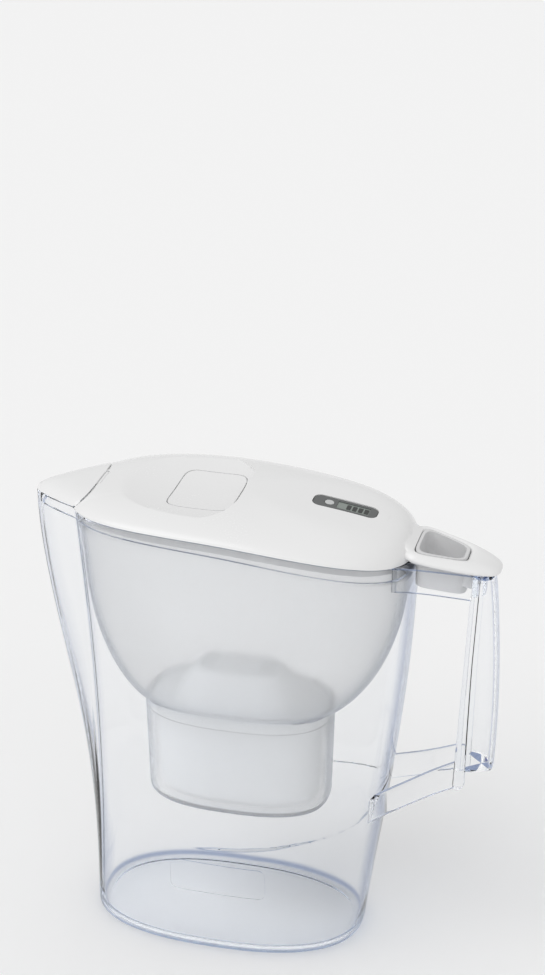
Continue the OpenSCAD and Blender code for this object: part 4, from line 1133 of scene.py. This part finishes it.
def make_materials():
    sc = bpy.context.scene
    jug, funnel, cartridge, lid = sc.pitcher_jug, sc.pitcher_funnel, sc.pitcher_cartridge, sc.pitcher_lid
    # Each clear wall's edge colour and ends set its painted shade: darker where seen edge on, on the rim's
    # level faces and round the foot
    MATERIALS["clear_jug"] = clear_plastic(
        "Clear jug plastic", tuple(jug.tint), jug.tint_depth, rough=0.01, ior=1.2, milk=0.0,
        edge=(0.12, 0.20, 0.42, 1), shadow=(0.98, 0.985, 0.99, 1), ends=(0.012, 0.006, 0.85))
    MATERIALS["clear_funnel"] = clear_plastic(
        "Clear funnel plastic", tuple(funnel.tint), funnel.tint_depth, rough=0.24, ior=1.18, milk=0.2,
        edge=(0.45, 0.51, 0.63, 1), shadow=(0.96, 0.965, 0.975, 1), ends=(0.2, 0.002, 0.6))
    MATERIALS["cartridge_white"] = moulded("Cartridge white", cartridge.white, 0.42, relief=0.05,
                                           Subsurface_Weight=0.15, Subsurface_Radius=(0.002, 0.002, 0.002))
    MATERIALS["lid_white"] = moulded("Lid white", lid.white, 0.26, drift=0.015, relief=0.015,
                                     Coat_Weight=0.15, Coat_Roughness=0.1)
    MATERIALS["insert_grey"] = moulded("Insert grey", lid.grey, 0.45, relief=0.06)
    for key, label, tone, rough, drift, relief, grain in (
            ("granules", "Filter granules", (0.03, 0.03, 0.032, 1), 0.8, 0.5, 0.9, 1400.0),
            ("strainer_mesh", "Strainer mesh", (0.62, 0.65, 0.67, 1), 0.55, 0.1, 0.5, 2400.0),
            ("gauge_dark", "Gauge dark grey", (0.10, 0.105, 0.105, 1), 0.38, 0.05, 0.04, 900.0),
            ("display_panel", "Display panel", (0.22, 0.25, 0.23, 1), 0.12, 0.05, 0.0, 900.0),
            ("display_ink", "Display bars", (0.015, 0.018, 0.016, 1), 0.3, 0.05, 0.0, 900.0),
            ("button_grey", "Button grey", (0.55, 0.56, 0.56, 1), 0.4, 0.02, 0.04, 900.0),
            ("board_green", "Board green", (0.012, 0.07, 0.02, 1), 0.35, 0.1, 0.05, 900.0)):
        MATERIALS[key] = moulded(label, tone, rough, drift, relief, grain)
    MATERIALS["steel"] = moulded("Bright steel", (0.55, 0.55, 0.56, 1), 0.24, 0.04, 0.05, Metallic=1.0)


FLOOR_HALF, SENSOR = 9000.0, 36.0
CAMERA_AT, CAMERA_TO = (0.31704, -1.13402, 0.81722), (0.024986, 0.0, 0.276692)
# Each light from afar: where it comes from, its share of the key light, and its spread in degrees
LAMPS = {"key": ((-0.9, -0.75, 1.5), 1.0, 50), "fill": ((0.5, -1.3, 0.5), 0.32, 70)}


def build_stage():
    s = bpy.context.scene.pitcher_stage
    corners = [(FLOOR_HALF * x, FLOOR_HALF * y, 0) for x, y in ((-1, -1), (1, -1), (1, 1), (-1, 1))]
    ground = mesh_object("studio_floor", corners, [(0, 1, 2, 3)])
    m, tree, shader, _ = new_material("Studio floor")
    shader.inputs["Base Color"].default_value = tuple(s.floor)
    shader.inputs["Roughness"].default_value = 0.9
    shader.inputs["Specular IOR Level"].default_value = 0.1
    ground.data.materials.append(m)

    world = bpy.data.worlds.new("Studio")
    bpy.context.scene.world = world
    world.use_nodes = True
    tree = world.node_tree
    tree.nodes.clear()
    lit = shader_node(tree, "Background", Color=(1, 1, 1, 1), Strength=s.sky)
    seen = shader_node(tree, "Background", Color=tuple(s.backdrop))
    path = shader_node(tree, "LightPath").outputs
    straight = math_node(tree, "MAXIMUM", path["Is Camera Ray"], path["Is Transmission Ray"])
    out = tree.nodes.new("ShaderNodeOutputWorld")
    tree.links.new(either_shader(tree, straight, lit, seen), out.inputs["Surface"])

    for name, (place, share, spread) in LAMPS.items():
        data = bpy.data.lights.new(name, "SUN")
        data.energy, data.angle = s.key * share, math.radians(spread)
        obj = bpy.data.objects.new(name, data)
        bpy.context.collection.objects.link(obj)
        obj.rotation_euler = (-Vector(place)).to_track_quat("-Z", "Y").to_euler()

    cam = bpy.data.cameras.new("camera")
    cam.lens, cam.sensor_width, cam.sensor_fit = s.lens, SENSOR, "AUTO"
    cam.clip_start, cam.clip_end = 0.01, 50
    obj = bpy.data.objects.new("camera", cam)
    bpy.context.collection.objects.link(obj)
    obj.location = CAMERA_AT
    obj.rotation_euler = (Vector(CAMERA_TO) - obj.location).to_track_quat("-Z", "Y").to_euler()
    bpy.context.scene.camera = obj
    bpy.context.scene.view_settings.view_transform = "Standard"


# ---------------------------------------------------------------- operators, panel and main

class PITCHER_OT_materials(bpy.types.Operator):
    """Make the pitcher's materials"""
    bl_idname = "pitcher.materials"
    bl_label = "Materials"

    def execute(self, context):
        make_materials()
        return {"FINISHED"}


class PITCHER_OT_jug(bpy.types.Operator):
    """Build the clear jug with its spout, arms and grip"""
    bl_idname = "pitcher.jug"
    bl_label = "Jug"

    def execute(self, context):
        build_jug()
        return {"FINISHED"}


class PITCHER_OT_funnel(bpy.types.Operator):
    """Build the funnel with its band, well and outlet post"""
    bl_idname = "pitcher.funnel"
    bl_label = "Funnel"

    def execute(self, context):
        build_funnel()
        return {"FINISHED"}


class PITCHER_OT_cartridge(bpy.types.Operator):
    """Build the filter cartridge and its hood"""
    bl_idname = "pitcher.cartridge"
    bl_label = "Cartridge"

    def execute(self, context):
        build_cartridge()
        return {"FINISHED"}


class PITCHER_OT_lid(bpy.types.Operator):
    """Build the dome with its scoop and ring, the fill flap and the beak"""
    bl_idname = "pitcher.lid"
    bl_label = "Lid"

    def execute(self, context):
        build_lid()
        return {"FINISHED"}


class PITCHER_OT_insert(bpy.types.Operator):
    """Build the grey collar under the lid, with the thumb hole's lining and foot"""
    bl_idname = "pitcher.insert"
    bl_label = "Insert"

    def execute(self, context):
        build_insert()
        return {"FINISHED"}


class PITCHER_OT_gauge(bpy.types.Operator):
    """Build the indicator's face, button and display bars"""
    bl_idname = "pitcher.gauge"
    bl_label = "Indicator"

    def execute(self, context):
        build_gauge()
        return {"FINISHED"}


class PITCHER_OT_fittings(bpy.types.Operator):
    """Give the pins, spring, strainers and inner pieces their materials"""
    bl_idname = "pitcher.fittings"
    bl_label = "Fittings"

    def execute(self, context):
        dress_frame()
        return {"FINISHED"}


class PITCHER_OT_stage(bpy.types.Operator):
    """Set up the floor, the lights and the camera"""
    bl_idname = "pitcher.stage"
    bl_label = "Stage"

    def execute(self, context):
        build_stage()
        return {"FINISHED"}


STEPS = (PITCHER_OT_materials, PITCHER_OT_jug, PITCHER_OT_funnel, PITCHER_OT_cartridge, PITCHER_OT_lid,
         PITCHER_OT_insert, PITCHER_OT_gauge, PITCHER_OT_fittings, PITCHER_OT_stage)
GROUPS = {
    "pitcher_jug": PITCHER_PG_jug, "pitcher_funnel": PITCHER_PG_funnel,
    "pitcher_cartridge": PITCHER_PG_cartridge, "pitcher_lid": PITCHER_PG_lid,
    "pitcher_stage": PITCHER_PG_stage,
}


class PITCHER_PT_panel(bpy.types.Panel):
    """Lists the pitcher's sizes, colours and building steps"""
    bl_idname = "PITCHER_PT_panel"
    bl_label = "Water filter pitcher"
    bl_space_type = "VIEW_3D"
    bl_region_type = "UI"
    bl_category = "Pitcher"

    def draw(self, context):
        for name, group in GROUPS.items():
            part = self.layout.box()
            for prop in group.__annotations__:
                part.prop(getattr(context.scene, name), prop)
        for step in STEPS:
            self.layout.operator(step.bl_idname)


def register():
    for cls in (*GROUPS.values(), *STEPS, PITCHER_PT_panel):
        bpy.utils.register_class(cls)
    for name, group in GROUPS.items():
        setattr(bpy.types.Scene, name, PointerProperty(type=group))


def unregister():
    for name in GROUPS:
        delattr(bpy.types.Scene, name)
    for cls in reversed((*GROUPS.values(), *STEPS, PITCHER_PT_panel)):
        bpy.utils.unregister_class(cls)


def plain(bounds):
    return [[float(v) for v in corner] for corner in bounds]


def main():
    register()
    for step in STEPS:
        area, name = step.bl_idname.split(".")
        getattr(getattr(bpy.ops, area), name)()


if __name__ == "__main__":
    main()
